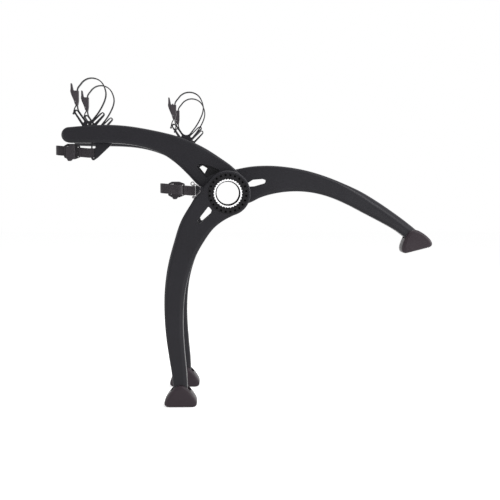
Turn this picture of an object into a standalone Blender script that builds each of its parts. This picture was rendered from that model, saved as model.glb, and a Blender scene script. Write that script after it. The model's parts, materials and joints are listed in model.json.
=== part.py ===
"""Trunk bike rack: five curved arms and legs that turn on one splined tube.

Metres, +Z up. +Y runs along the tube, +X points to the vehicle. The origin is on the tube's axis, half way
along it.
Outlines are (x, z) points seen from the near side, which is -Y.
"""

import math

import bmesh
import bpy
from mathutils import Matrix, Vector

FIT = 0.0003  # gap between pieces that touch
CUTTER_OVERRUN = 0.0200  # how far a seat's cutter stands out of the piece it cuts

# Splined tube
TUBE_RADIUS = 0.0380
TUBE_BORE_RADIUS = 0.0331
TUBE_STUB = 0.0030  # how far the tube stands out of the end hubs
SPLINE_COUNT = 32
SPLINE_DEPTH = 0.0018
SPLINE_TOP = 0.17  # half a tooth's flat top, as a share of the pitch
SPLINE_FOOT = 0.34  # half a tooth's width at its foot, likewise
SPLINE_FIT = 0.0004
SPLINE_SIDE_FIT = 0.03  # added to both shares in a bush

# Hubs, and the bushes that key them to the tube
BUSH_RADIUS = 0.0536
BUSH_FIT = 0.0004
HUB_WALL = 0.0060  # round the bush
HUB_RADIUS = BUSH_RADIUS + BUSH_FIT + HUB_WALL
BUSH_RECESS = 0.0008  # below the hub's face
POCKET_COUNT = 24
POCKET_MIDDLE_RADIUS = 0.0488
POCKET_SIZE = 0.0052
POCKET_DEPTH = 0.0120
RING_THICKNESS = 0.0025
RING_HEIGHT = 0.0050
RING_STEPS = 24

# Arms and legs across the rack
ARC_WIDTH = 0.0440
ARC_SIDE_GAP = 0.0010
ARM_PLANE = 0.1100
ARC_EDGE_ROUND = 0.0040
ARC_POINT_SPACING = 0.0380
WINDOW_ROUND = 0.0035

# Feet
FOOT_LENGTH = 0.0870
FOOT_CHEEK = 0.0095
FOOT_SOLE_DEPTH = 0.0400  # pivot to sole
FOOT_CROWN = 0.0180  # pivot to top
FOOT_ROUND = 0.0040
FOOT_SIDE = (  # half of its bell-shaped side, as shares of half its length and of its height
    (0.74, 0.0), (0.89, 0.03), (0.98, 0.10), (1.0, 0.20), (0.965, 0.32), (0.85, 0.48), (0.69, 0.65),
    (0.51, 0.80), (0.31, 0.93), (0.11, 1.0),
)
FOOT_SWING = math.radians(44)  # how far a leg may lean each way in the foot's slot
KNUCKLE_RADIUS = 0.0185
FOOT_PIN_RADIUS = 0.0040
FOOT_PIN_GRIP = 0.0055  # length of the pin in each cheek
LOWER_PIVOT = (-0.1270, -0.5300)
LOWER_END_LEAN = math.radians(7)
UPPER_PIVOT = (0.5220, -0.1210)
UPPER_END_LEAN = math.radians(53)
UPPER_FOOT_TILT = math.radians(-14.3)

# Edges of the arms and legs, from the hub outwards, as free curves
LOWER_LEG_BACK = (
    (-0.0785, 0.0040), (-0.0990, -0.0290), (-0.1234, -0.0703), (-0.1448, -0.1339), (-0.1595, -0.1900),
    (-0.1685, -0.2550), (-0.1696, -0.3200), (-0.1650, -0.3850), (-0.1565, -0.4450), (-0.1500, -0.4860),
)
LOWER_LEG_FRONT = (
    (-0.0090, -0.0705), (-0.0345, -0.0895), (-0.0645, -0.1290), (-0.0865, -0.1690), (-0.1030, -0.2130),
    (-0.1140, -0.2600), (-0.1193, -0.3120), (-0.1196, -0.3680), (-0.1155, -0.4300), (-0.1105, -0.4860),
)
UPPER_LEG_TOP = (
    (0.0255, 0.0670), (0.0620, 0.0738), (0.1117, 0.0766), (0.1657, 0.0727), (0.2190, 0.0630),
    (0.2723, 0.0470), (0.3220, 0.0275), (0.3715, 0.0050), (0.4200, -0.0235), (0.4620, -0.0520),
    (0.4985, -0.0785),
)
UPPER_LEG_UNDER = (
    (0.0640, -0.0255), (0.0912, -0.0123), (0.1340, -0.0005), (0.1870, 0.0048), (0.2380, 0.0010),
    (0.2880, -0.0120), (0.3350, -0.0320), (0.3810, -0.0560), (0.4290, -0.0810), (0.4720, -0.1055),
)
ARM_TOP = (
    (0.0056, 0.0768), (-0.0212, 0.0955), (-0.0539, 0.1168), (-0.0965, 0.1385), (-0.1388, 0.1540),
    (-0.1762, 0.1635), (-0.2200, 0.1725), (-0.2642, 0.1795), (-0.3095, 0.1830), (-0.3500, 0.1826),
    (-0.3947, 0.1798),
)
ARM_UNDER = (
    (-0.0800, 0.0220), (-0.1076, 0.0505), (-0.1383, 0.0796), (-0.1751, 0.1050), (-0.2149, 0.1205),
    (-0.2432, 0.1275), (-0.2760, 0.1322), (-0.3120, 0.1345), (-0.3560, 0.1350), (-0.3950, 0.1352),
)
ARM_TIP = (-0.4250, 0.1565)
ARM_TIP_RADIUS = 0.0206

# Corners of the cut-outs: how far each lies outside the hub's rim, and its angle
LOWER_LEG_WINDOW = ((0.0022, 213), (0.0022, 226), (0.0150, 230), (0.0540, 227.0), (0.0490, 221.5))
UPPER_LEG_WINDOW = (
    (0.0022, 17), (0.0022, 27), (0.0195, 28), (0.0460, 22), (0.0535, 18.5), (0.0475, 15), (0.0175, 14.5),
)
ARM_POCKET = (
    (0.0030, 106), (0.0030, 124), (0.0060, 132), (0.0118, 145), (0.0504, 139.2), (0.0495, 133), (0.0262, 122),
)
ARM_OPENING = ((0.0283, 128.4), (0.0221, 140.5), (0.0502, 137.6), (0.0478, 132.5))  # through the pocket's floor
ARM_WEB = 0.0060  # the floor between the pockets of an arm's two faces
OPENING_ROUND = 0.0012

# Cradles, as (u, w): u along +X from the middle of the base, w up from the arm's surface
CRADLE_PLACES = (-0.3722, -0.1110)
CRADLE_SINK = 0.0018  # depth of the seat in the arm
CRADLE_STEP = 0.0012  # upright end of its base above that
CRADLE_BASE = 0.0374
CRADLE_SHIFTS = (0.0, -0.0066)  # of each base along its arm, from the middle between its wings
CRADLE_WIDTH = 0.0180
WING_SLOT_WIDTH = 0.0058
SADDLE = (
    (-0.0310, 0.0430), (-0.0243, 0.0322), (-0.0165, 0.0214), (-0.0085, 0.0136), (-0.0008, 0.0114),
    (0.0072, 0.0134), (0.0152, 0.0222), (0.0226, 0.0314), (0.0296, 0.0384),
)
RIGHT_WING_EDGE = ((0.0152, 0.0205), (0.0226, 0.0278), (0.0298, 0.0349))  # leans away from the strap above it
RIGHT_WING_TIP = ((0.0364, 0.0385), (0.0400, 0.0362), (0.0411, 0.0322), (0.0393, 0.0283))
LEFT_WING_TIP = ((-0.0396, 0.0354), (-0.0400, 0.0405), (-0.0376, 0.0445), (-0.0335, 0.0453))
RIGHT_WING_SLOT = ((0.0128, 0.0108), (0.0352, 0.0330))
LEFT_WING_SLOT = ((-0.0161, 0.0132), (-0.0343, 0.0392))
BASE_HOLES = (((-0.0046, 0.0062), (0.0068, 0.0072)), ())  # in each cradle's base
BASE_HOLE_RADIUS = 0.0021

# Ladder strap and its ratchet buckle, in the same (u, w)
STRAP_THICKNESS = 0.0030
STRAP_WIDTH = 0.0140
STRAP_POINT_SPACING = 0.0100
STRAP_IN_BUCKLE = -0.0315  # u of both ends
STRAP_LOW_END = (0.0050, -0.0040)  # w of its points there, from the buckle's foot
STRAP_HIGH_END = (0.0015, -0.0030, -0.0180)  # the same, from the buckle's head
STRAP_LOOP = (
    (0.0366, 0.0581), (0.0422, 0.0713), (0.0450, 0.0873), (0.0406, 0.1058), (0.0327, 0.1190),
    (0.0215, 0.1265), (0.0085, 0.1293), (-0.0048, 0.1271), (-0.0156, 0.1206), (-0.0236, 0.1112),
    (-0.0296, 0.1032),
)
BUCKLE_FOOT = 0.0580
BUCKLE_HEAD = 0.0955
BUCKLE_WALL = 0.0016
BUCKLE_LIP = 0.0110  # from its foot to its back plate
LEVER_PIVOT = (-0.0366, 0.0668)
LEVER_HEEL_RADIUS = 0.0029
LEVER_PIN_RADIUS = 0.0013
BUCKLE_FRONT = (  # edge of its side plates, from the head down
    (-0.0405, BUCKLE_HEAD), (-0.0424, BUCKLE_HEAD - 0.0100), (LEVER_PIVOT[0] - 0.0034, LEVER_PIVOT[1]),
    (-0.0372, BUCKLE_FOOT),
)
TAIL_TIP = (-0.0473, 0.1136)
TAIL_RADIUS = 0.0018
LEVER_BACK = ((-0.0337, 0.0708), (-0.0348, 0.0938), (-0.0422, 0.0972))  # from the heel up to the tail
LEVER_FRONT = ((-0.0491, 0.1000), (-0.0499, 0.0955), (-0.0495, 0.0915), (-0.0468, 0.0830))  # and down again
TAB_THICKNESS = 0.0022
TAB_WIDTH = 0.0100
TAB_BEND = (-0.0392, 0.0490)
TAB_POINT_SPACING = 0.0060
BEAD_RADIUS = 0.0024

# Webbing straps, rolled and put away
WEB_THICKNESS = 0.0016
WEB_WIDTH = 0.0254
WEB_LAYER_GAP = 0.0008
ROLL_TURNS = 4
ROLL_PITCH = 0.0022
ROLL_CORE = 0.0018
ROLL_LENGTH = 0.0605
ROLL_RISE = 0.087  # how fast a stored strap climbs away from its bar
ROLL_LEVEL = 0.0080  # it is level this near the bar
STRAP_A_DROP = 0.0142  # from the bracket's top to the webbing
STRAP_A_REACH = (0.0310, 0.0380)  # from the bar that holds it to its buckle and to its roll
STRAP_B_REACH = (0.0240, 0.0280)
CAM_LENGTH = 0.0440
CAM_HEIGHT = 0.0416
CAM_END_HEIGHT = 0.0310
CAM_SHOULDERS = (0.0145, 0.0100)  # from its inner and its outer end to its full height
CAM_BAR = 0.0040  # its inner end, which the sewn loop holds
REAR_SLOT_LENGTH = 0.0029
CAM_SLOT_FIT = 0.0009  # from the webbing's edge to the slot's end
FRONT_SLOT_START = 0.0070  # from the buckle's outer end
FRONT_SLOT_LENGTH = 0.0080
TAIL_PAST_CAM = 0.0040
CAM_PIVOT_SHARE = 0.38  # of the buckle's length
CAM_PLATE = 0.0020
CAM_CHEEK = 0.0130
CAM_WALL = 0.0018
CAM_RADIUS = 0.0052
CAM_PIN_RADIUS = 0.0014
CAM_WEB = (0.0005, -0.0100)  # where the cam meets the thumb plate
THUMB_THICKNESS = 0.0020
THUMB_ROUND = 0.0030
THUMB_OUTLINE = (  # from its pin, with a lobe past the buckle's lower edge
    (-0.0010, CAM_HEIGHT / 2 - 0.0020), (-0.0190, CAM_HEIGHT / 2 - 0.0090), (-0.0190, 0.0040 - CAM_HEIGHT / 2),
    (-0.0150, -CAM_HEIGHT / 2 - 0.0050), (-0.0060, -CAM_HEIGHT / 2 - 0.0050), (-0.0010, -CAM_HEIGHT / 2),
)

# Bracket below the near arm's tip
BRACKET_X = -0.3662  # its bar
BRACKET_LENGTH = 0.0550
BRACKET_DROP = 0.0465
BRACKET_SINK = 0.0004  # depth of its seat in the arm
BRACKET_THICKNESS = 0.0056
BRACKET_BAR = 0.0036
BRACKET_SLOT = 0.0052
BRACKET_SLOT_ENDS = (0.0060, 0.0045)  # from its lowest edge and from its top
BRACKET_KEYHOLE = (0.0080, 0.0088)  # width and height of the slot's wider top
BRACKET_TOE = 0.0040
BRACKET_UNDER = ((0.0060, 0.0), (0.0165, 0.0075))  # right of the bar's middle, and up from the lowest edge
BRACKET_LIP = (0.0015, 0.0040)
LOOP_SLACK = 0.0012

# Wire ring beside the near hub, and the plate on the leg that holds it
WIRE_RADIUS = 0.0015
RING_BAR_X = -0.0900
RING_RIGHT_X = -0.0735
RING_MIDDLE_Z = 0.0070
RING_STAND_OFF = 0.0045  # wire's centre to the leg's face
BARREL_Z = 0.0110
BARREL_HEIGHT = 0.0060
BARREL_LENGTH = 0.0100
PLATE_THICKNESS = 0.0022
PLATE_OUTLINE = (
    (-0.0858, 0.0195), (-0.0858, -0.0040), (-0.0825, -0.0055), (-0.0670, 0.0060), (-0.0670, 0.0165),
    (-0.0820, 0.0220),
)
RING_PAST_WEB = 0.0030  # how far its bar stands out of the webbing at each end
RING_BOW = (0.0040, 0.0060)  # how far its bow runs level, below and above
RING_EYES = (("low", -1, (-0.0018, 0.0014), 0.0021), ("high", 1, (-0.0034, 0.0030), 0.0045))

CAM_PIVOT_HEIGHT = CAM_PLATE / 2 + WEB_THICKNESS + 0.0010 + CAM_RADIUS
LEG_PLANE = ARM_PLANE + ARC_WIDTH + ARC_SIDE_GAP
TUBE_LENGTH = 2 * (LEG_PLANE + ARC_WIDTH / 2 + TUBE_STUB)
ROUND_STEPS = 36  # sides of a full circle round the tube

BLACK_PLASTIC = ("black_plastic", (0.036, 0.036, 0.040), 0.55, 0.0)
FOOT_RUBBER = ("foot_rubber", (0.052, 0.040, 0.046), 0.70, 0.0)
TUBE_METAL = ("tube_metal", (0.050, 0.050, 0.052), 0.40, 0.8)
STEEL = ("pin_steel", (0.30, 0.30, 0.31), 0.35, 1.0)
STRAP_RUBBER = ("strap_rubber", (0.030, 0.030, 0.032), 0.50, 0.0)
BUCKLE_PLASTIC = ("buckle_plastic", (0.058, 0.048, 0.054), 0.45, 0.0)
WEBBING = ("webbing", (0.026, 0.026, 0.028), 0.90, 0.0)


def clear_scene():
    for obj in list(bpy.data.objects):
        bpy.data.objects.remove(obj, do_unlink=True)


def new_collection(name):
    collection = bpy.data.collections.new(name)
    bpy.context.scene.collection.children.link(collection)
    return collection


def material(spec):
    name, colour, roughness, metallic = spec
    found = bpy.data.materials.get(name)
    if found:
        return found
    made = bpy.data.materials.new(name)
    made.use_nodes = True
    shader = made.node_tree.nodes["Principled BSDF"]
    shader.inputs["Base Color"].default_value = (*colour, 1.0)
    shader.inputs["Roughness"].default_value = roughness
    shader.inputs["Metallic"].default_value = metallic
    return made


# Outlines

def ring(radius, steps=ROUND_STEPS, centre=(0.0, 0.0)):
    return arc(centre, radius, 0, 360, steps)[:-1]


def arc(centre, radius, start_deg, end_deg, steps):
    """Points along a circle, both ends included."""
    angles = [math.radians(start_deg + (end_deg - start_deg) * i / steps) for i in range(steps + 1)]
    return [(centre[0] + radius * math.cos(a), centre[1] + radius * math.sin(a)) for a in angles]


def through(points, spacing):
    """A smooth curve through the points, as points about this far apart."""
    knots = [Vector(p) for p in points]
    gaps = [(b - a).length for a, b in zip(knots, knots[1:])]
    slopes = [(b - a) / gap for a, b, gap in zip(knots, knots[1:], gaps)]
    tangents = [slopes[0]]
    for before, after, i in zip(gaps, gaps[1:], range(len(gaps) - 1)):
        tangents.append((slopes[i] * after + slopes[i + 1] * before) / (before + after))
    tangents.append(slopes[-1])
    found = []
    for a, b, ta, tb, gap in zip(knots, knots[1:], tangents, tangents[1:], gaps):
        steps = max(1, round(gap / spacing))
        for i in range(steps):
            t = i / steps
            found.append(
                a * (1 + 2 * t) * (1 - t) ** 2
                + b * t * t * (3 - 2 * t)
                + ta * gap * t * (1 - t) ** 2
                - tb * gap * t * t * (1 - t)
            )
    return [tuple(p) for p in found + [knots[-1]]]


def rounded(corners, radius, steps=3):
    """A closed outline with each corner turned into an arc, held back where a side is short."""
    found = []
    count = len(corners)
    for i, corner in enumerate(corners):
        here = Vector(corner)
        back = Vector(corners[i - 1]) - here
        ahead = Vector(corners[(i + 1) % count]) - here
        half = back.angle(ahead) / 2
        reach = min(radius / math.tan(half), 0.45 * back.length, 0.45 * ahead.length)
        fitted = reach * math.tan(half)
        middle = here + (back.normalized() + ahead.normalized()).normalized() * fitted / math.sin(half)
        first = here + back.normalized() * reach - middle
        last = here + ahead.normalized() * reach - middle
        turn = math.atan2(first.x * last.y - first.y * last.x, first.dot(last))
        for k in range(steps + 1):
            found.append(tuple(middle + Matrix.Rotation(turn * k / steps, 2) @ first))
    return found


def offset(path, distance, closed=False):
    """The path moved to its left by this distance."""
    found = []
    count = len(path)
    for i, point in enumerate(path):
        here = Vector(point)
        before = Vector(path[i - 1]) if closed or i else here
        after = Vector(path[(i + 1) % count]) if closed or i < count - 1 else here
        into = (here - before).normalized() if before != here else (after - here).normalized()
        out = (after - here).normalized() if after != here else into
        side = Vector((-into.y - out.y, into.x + out.x)).normalized()
        stretch = max(0.5, side.dot(Vector((-into.y, into.x))))
        found.append(tuple(here + side * distance / stretch))
    return found


def band(path, thickness):
    """Outline of a strip of this thickness along an open path."""
    return offset(path, -thickness / 2) + offset(path, thickness / 2)[::-1]


def capsule(start, end, width, steps=5):
    """A slot with round ends."""
    lean = math.degrees(math.atan2(end[1] - start[1], end[0] - start[0]))
    return arc(end, width / 2, lean - 90, lean + 90, steps) + arc(start, width / 2, lean + 90, lean + 270, steps)


def outside_hub(corners):
    """Corners given as (distance outside the hub's rim, angle in degrees)."""
    return [
        ((HUB_RADIUS + far) * math.cos(math.radians(deg)), (HUB_RADIUS + far) * math.sin(math.radians(deg)))
        for far, deg in corners
    ]


def box_outline(left, right, low, high):
    return [(left, low), (right, low), (right, high), (left, high)]


# Solids

def add(name, mesh, spec, collection, location=(0, 0, 0), parent=None):
    obj = bpy.data.objects.new(name, mesh)
    collection.objects.link(obj)
    obj.location = location
    if parent:
        obj.parent = parent
    if spec:
        mesh.materials.append(material(spec))
    mesh.shade_smooth()
    mesh.set_sharp_from_angle(angle=math.radians(35))
    return obj


def hinge_empty(name, location, tilt=0.0):
    empty = bpy.data.objects.new(name, None)
    PARTS.objects.link(empty)
    empty.location = location
    empty.rotation_euler = (0, tilt, 0)
    return empty


def flat_mesh(name, outlines, thickness):
    """A flat outline with any holes, as a 2D curve given thickness, made a mesh in local X and Y."""
    curve = bpy.data.curves.new(name, "CURVE")
    curve.dimensions = "2D"
    curve.fill_mode = "BOTH"
    curve.extrude = thickness / 2
    for outline in outlines:
        spline = curve.splines.new("POLY")
        spline.points.add(len(outline) - 1)
        for point, (x, y) in zip(spline.points, outline):
            point.co = (x, y, 0, 1)
        spline.use_cyclic_u = True
    obj = bpy.data.objects.new(name, curve)
    bpy.context.scene.collection.objects.link(obj)
    bpy.context.view_layer.update()
    mesh = bpy.data.meshes.new_from_object(obj.evaluated_get(bpy.context.evaluated_depsgraph_get()))
    bpy.data.objects.remove(obj)
    mesh.name = name
    shape = bmesh.new()
    shape.from_mesh(mesh)
    bmesh.ops.remove_doubles(shape, verts=shape.verts, dist=1e-6)
    bmesh.ops.dissolve_limit(
        shape, angle_limit=math.radians(0.2), verts=shape.verts, edges=shape.edges, delimit={"NORMAL"}
    )
    bmesh.ops.recalc_face_normals(shape, faces=shape.faces)
    shape.to_mesh(mesh)
    shape.free()
    return mesh


UPRIGHT = Matrix.Rotation(math.radians(90), 4, "X")  # local Y to +Z, so an outline stands in X and Z


def slab(name, outlines, thickness, spec, collection, middle_y=0.0, rounding=0.0, parent=None, origin=(0, 0)):
    """An outline in X and Z, with thickness along Y. Its origin is at `origin`, on its middle plane."""
    local = [[(x - origin[0], z - origin[1]) for x, z in outline] for outline in outlines]
    mesh = flat_mesh(name, local, thickness)
    mesh.transform(UPRIGHT)
    place = (0, middle_y, 0) if parent else (origin[0], middle_y, origin[1])
    obj = add(name, mesh, spec, collection, place, parent)
    if rounding:
        bevel = obj.modifiers.new("edge_rounding", "BEVEL")
        bevel.width = rounding
        bevel.segments = 2
        bevel.limit_method = "ANGLE"
        bevel.angle_limit = math.radians(55)
    return obj


def rod_mesh(name, radius, length, axis, steps=16):
    shape = bmesh.new()
    bmesh.ops.create_cone(
        shape, cap_ends=True, segments=steps, radius1=radius, radius2=radius, depth=length,
        matrix=Matrix.Rotation(math.pi / steps, 4, "Z"),
    )
    mesh = bpy.data.meshes.new(name)
    shape.to_mesh(mesh)
    shape.free()
    if axis == "Y":
        mesh.transform(UPRIGHT)
    return mesh


def rod(name, centre, radius, length, axis, spec, collection, steps=16, parent=None):
    return add(name, rod_mesh(name, radius, length, axis, steps), spec, collection, centre, parent)


def block(name, low, high, collection, parent=None, spec=None):
    shape = bmesh.new()
    bmesh.ops.create_cube(shape, size=1.0)
    size = Vector(high) - Vector(low)
    bmesh.ops.scale(shape, vec=size, verts=shape.verts)
    mesh = bpy.data.meshes.new(name)
    shape.to_mesh(mesh)
    shape.free()
    return add(name, mesh, spec, collection, (Vector(low) + Vector(high)) / 2, parent)


def boolean(obj, other, operation):
    modifier = obj.modifiers.new(f"{operation.lower()}_{other.name}", "BOOLEAN")
    modifier.operation = operation
    modifier.solver = "EXACT"
    modifier.object = other


def cut(obj, cutter):
    cutter.hide_render = True
    cutter.display_type = "WIRE"
    boolean(obj, cutter, "DIFFERENCE")


def join(obj, other):
    other.hide_render = True
    other.display_type = "WIRE"
    boolean(obj, other, "UNION")


# Tube, bushes and rings

def splined_loop(radius, width_gain=0.0):
    """Outline of the splines over this radius. Each tooth is a flat top, a flank, a flat root and a flank."""
    pitch = math.tau / SPLINE_COUNT
    corners = (
        (radius, -SPLINE_TOP - width_gain), (radius, SPLINE_TOP + width_gain),
        (radius - SPLINE_DEPTH, SPLINE_FOOT + width_gain), (radius - SPLINE_DEPTH, 1 - SPLINE_FOOT - width_gain),
    )
    return [
        (r * math.cos((tooth + share) * pitch), r * math.sin((tooth + share) * pitch))
        for tooth in range(SPLINE_COUNT)
        for r, share in corners
    ]


def make_tube():
    outlines = [splined_loop(TUBE_RADIUS), ring(TUBE_BORE_RADIUS)]
    return slab("main_tube", outlines, TUBE_LENGTH, TUBE_METAL, PARTS)


def pocket_cutters(name, face_y):
    """Square pockets round a bush's face, as one cutter that stands half out of it."""
    half = math.degrees(POCKET_SIZE / 2 / POCKET_MIDDLE_RADIUS)
    shape = bmesh.new()
    for i in range(POCKET_COUNT):
        middle = 360 * (i + 0.5) / POCKET_COUNT
        inner = arc((0, 0), POCKET_MIDDLE_RADIUS - POCKET_SIZE / 2, middle - half, middle + half, 1)
        outer = arc((0, 0), POCKET_MIDDLE_RADIUS + POCKET_SIZE / 2, middle + half, middle - half, 1)
        pocket = flat_mesh(name, [inner + outer], 2 * POCKET_DEPTH)
        shape.from_mesh(pocket)
        bpy.data.meshes.remove(pocket)
    mesh = bpy.data.meshes.new(name)
    shape.to_mesh(mesh)
    shape.free()
    mesh.transform(UPRIGHT)
    return add(name, mesh, None, CUTTERS, (0, face_y, 0))


def make_bush(name, plane, pocket_side=0):
    outlines = [ring(BUSH_RADIUS), splined_loop(TUBE_RADIUS + SPLINE_FIT, SPLINE_SIDE_FIT)]
    width = ARC_WIDTH - 2 * BUSH_RECESS
    bush = slab(name, outlines, width, BLACK_PLASTIC, PARTS, middle_y=plane)
    if pocket_side:
        cut(bush, pocket_cutters(f"{name}_pockets", plane + pocket_side * width / 2))
    return bush


def make_retaining_ring(name, face_y, outward):
    """A plain ring on the spline tops, against a bush's face."""
    inner = TUBE_RADIUS + FIT
    outlines = [ring(inner + RING_HEIGHT, RING_STEPS), ring(inner / math.cos(math.pi / RING_STEPS), RING_STEPS)]
    middle = face_y + outward * (RING_THICKNESS / 2 + FIT)
    return slab(name, outlines, RING_THICKNESS, STEEL, PARTS, middle_y=middle)


# Arms and legs

def make_arc(name, plane, hub_start, hub_end, edge_out, end_centre, end_radius, end_start, end_end, edge_back):
    """Hub, outgoing edge, round end and returning edge make one outline, which runs anticlockwise.

    hub_start and hub_end are the angles where the edges leave the hub's rim, and end_start and end_end those
    where they meet the round end.
    """
    hub = arc((0, 0), HUB_RADIUS, hub_start, hub_end, round((hub_end - hub_start) * ROUND_STEPS / 360))
    end = arc(end_centre, end_radius, end_start, end_end, 10)
    out = through([hub[-1], *edge_out, end[0]], ARC_POINT_SPACING)
    back = through([end[-1], *reversed(edge_back), hub[0]], ARC_POINT_SPACING)
    outline = hub[:-1] + out[:-1] + end[:-1] + back[:-1]
    obj = slab(name, [outline], ARC_WIDTH, BLACK_PLASTIC, PARTS, middle_y=plane, rounding=ARC_EDGE_ROUND)
    bore = slab(f"{name}_bore", [ring(BUSH_RADIUS + BUSH_FIT)], 2 * ARC_WIDTH, None, CUTTERS, middle_y=plane)
    cut(obj, bore)
    return obj, out, back


def cut_beside_hub(obj, tag, corners, radius, depth, middle_y):
    outline = rounded(outside_hub(corners), radius)
    cut(obj, slab(f"{obj.name}_{tag}", [outline], depth, None, CUTTERS, middle_y=middle_y))


def make_lower_leg(name, plane):
    lean = math.degrees(LOWER_END_LEAN)
    leg, _, _ = make_arc(
        name, plane, -75, 150, LOWER_LEG_BACK, LOWER_PIVOT, KNUCKLE_RADIUS, 180 + lean, 360 + lean,
        LOWER_LEG_FRONT,
    )
    cut_beside_hub(leg, "window", LOWER_LEG_WINDOW, WINDOW_ROUND, 2 * ARC_WIDTH, plane)
    bore_foot_pin(leg, LOWER_PIVOT, plane)
    return leg


def make_upper_leg(name, plane):
    lean = math.degrees(UPPER_END_LEAN)
    leg, _, _ = make_arc(
        name, plane, 97.5, 330, UPPER_LEG_UNDER, UPPER_PIVOT, KNUCKLE_RADIUS, 180 + lean, 360 + lean,
        UPPER_LEG_TOP,
    )
    cut_beside_hub(leg, "window", UPPER_LEG_WINDOW, WINDOW_ROUND, 2 * ARC_WIDTH, plane)
    bore_foot_pin(leg, UPPER_PIVOT, plane)
    return leg


def bore_foot_pin(obj, pivot, plane):
    name = f"{obj.name}_pin_hole"
    centre = (pivot[0], plane, pivot[1])
    cut(obj, rod(name, centre, FOOT_PIN_RADIUS + FIT, 2 * ARC_WIDTH, "Y", None, CUTTERS))


def make_arm(name, plane, has_bracket):
    arm, top, under = make_arc(name, plane, 172.5, 405, ARM_TOP, ARM_TIP, ARM_TIP_RADIUS, 93, 267, ARM_UNDER)
    for face_name, face in (("near", -1), ("far", 1)):
        middle_y = plane + face * (ARM_WEB + ARC_WIDTH) / 2
        cut_beside_hub(arm, f"{face_name}_pocket", ARM_POCKET, WINDOW_ROUND, ARC_WIDTH, middle_y)
    cut_beside_hub(arm, "opening", ARM_OPENING, OPENING_ROUND, 2 * ARM_WEB, plane)
    for i, place in enumerate(CRADLE_PLACES, 1):
        x, z, slope = seat_on(top, place)
        left, right = base_corners(slope, CRADLE_SHIFTS[i - 1], 2 * FIT, FIT)
        outline = [left, right, (right[0], CUTTER_OVERRUN), (left[0], CUTTER_OVERRUN)]
        seat = slab(f"{name}_seat_{i}", [outline], CRADLE_WIDTH + 2 * FIT, None, CUTTERS, middle_y=plane)
        seat.location = (x, plane, z)
        cut(arm, seat)
    if has_bracket:
        z = bracket_top(under)
        left, right = BRACKET_X - BRACKET_BAR / 2 - FIT, BRACKET_X + BRACKET_LENGTH + FIT
        outline = box_outline(left, right, z - CUTTER_OVERRUN, z + FIT)
        width = BRACKET_THICKNESS + 2 * FIT
        cut(arm, slab(f"{name}_bracket_seat", [outline], width, None, CUTTERS, middle_y=plane))
    return top, under


def height_at(edge, x):
    """Height and slope of an edge at this x."""
    for a, b in zip(edge, edge[1:]):
        if min(a[0], b[0]) <= x <= max(a[0], b[0]):
            share = (x - a[0]) / (b[0] - a[0])
            return a[1] + share * (b[1] - a[1]), math.atan((b[1] - a[1]) / (b[0] - a[0]))
    raise ValueError("no edge at this place")


def seat_on(top, x):
    """Middle of a cradle's seat, and its slope, from the arm's top on both sides of it."""
    left, _ = height_at(top, x - CRADLE_BASE / 2)
    right, _ = height_at(top, x + CRADLE_BASE / 2)
    middle, _ = height_at(top, x)
    return x, middle - CRADLE_SINK, math.atan((right - left) / CRADLE_BASE)


def base_corners(slope, shift, wider=0.0, lower=0.0):
    """Ends of a cradle's underside, which follows the arm's slope."""
    ends = [shift + end * (CRADLE_BASE / 2 + wider) for end in (-1, 1)]
    return [(end, end * math.tan(slope) - lower / math.cos(slope)) for end in ends]


def bracket_top(under):
    return height_at(under, BRACKET_X + BRACKET_LENGTH / 2)[0] + BRACKET_SINK


# Feet

def foot_outline():
    """Bell-shaped side, from one end of the sole round the crown to the other, with the pivot at the origin."""
    half = FOOT_LENGTH / 2
    rise = FOOT_SOLE_DEPTH + FOOT_CROWN
    right = [(half * out, rise * up - FOOT_SOLE_DEPTH) for out, up in FOOT_SIDE]
    return right + [(-x, z) for x, z in reversed(right)]


def slot_outline():
    """Space for the knuckle, and for the leg above it at every lean up to FOOT_SWING either way."""
    radius = KNUCKLE_RADIUS + BUSH_FIT
    lean = math.degrees(FOOT_SWING)
    floor = arc((0, 0), radius, 180 + lean, 360 - lean, 10)
    climb = Vector((math.sin(FOOT_SWING), math.cos(FOOT_SWING))) * FOOT_LENGTH
    left = Vector(floor[0]) + Vector((-climb.x, climb.y))
    right = Vector(floor[-1]) + climb
    return [*floor, tuple(right), tuple(left)]


def make_foot(name, pivot, plane, tilt):
    hinge = hinge_empty(f"{name}_hinge", (pivot[0], plane, pivot[1]), tilt)
    slot_width = ARC_WIDTH + 2 * BUSH_FIT
    foot = slab(
        name, [foot_outline()], slot_width + 2 * FOOT_CHEEK, FOOT_RUBBER, PARTS, rounding=FOOT_ROUND, parent=hinge
    )
    cut(foot, slab(f"{name}_slot", [slot_outline()], slot_width, None, CUTTERS, parent=hinge))
    reach = slot_width + 2 * FOOT_PIN_GRIP
    hole = rod(
        f"{name}_pin_holes", (0, 0, 0), FOOT_PIN_RADIUS + FIT, reach + 2 * FIT, "Y", None, CUTTERS, parent=hinge
    )
    cut(foot, hole)
    rod(f"{name}_pin", (pivot[0], plane, pivot[1]), FOOT_PIN_RADIUS, reach, "Y", STEEL, PARTS)
    return foot


# Cradles, ladder straps and ratchet buckles

def make_cradle(name, hinge, slope, shift, base_holes):
    left, right = base_corners(slope, shift)
    foot = CRADLE_SINK + CRADLE_STEP
    outline = [
        left, right, (right[0], right[1] + foot), *RIGHT_WING_TIP[::-1],
        *reversed(SADDLE[:-len(RIGHT_WING_EDGE)] + RIGHT_WING_EDGE), *LEFT_WING_TIP[::-1],
        (left[0], left[1] + foot),
    ]
    holes = [
        capsule(*RIGHT_WING_SLOT, WING_SLOT_WIDTH), capsule(*LEFT_WING_SLOT, WING_SLOT_WIDTH),
        *(ring(BASE_HOLE_RADIUS, 8, place) for place in base_holes),
    ]
    return slab(name, [outline, *holes], CRADLE_WIDTH, BLACK_PLASTIC, PARTS, parent=hinge)


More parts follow.
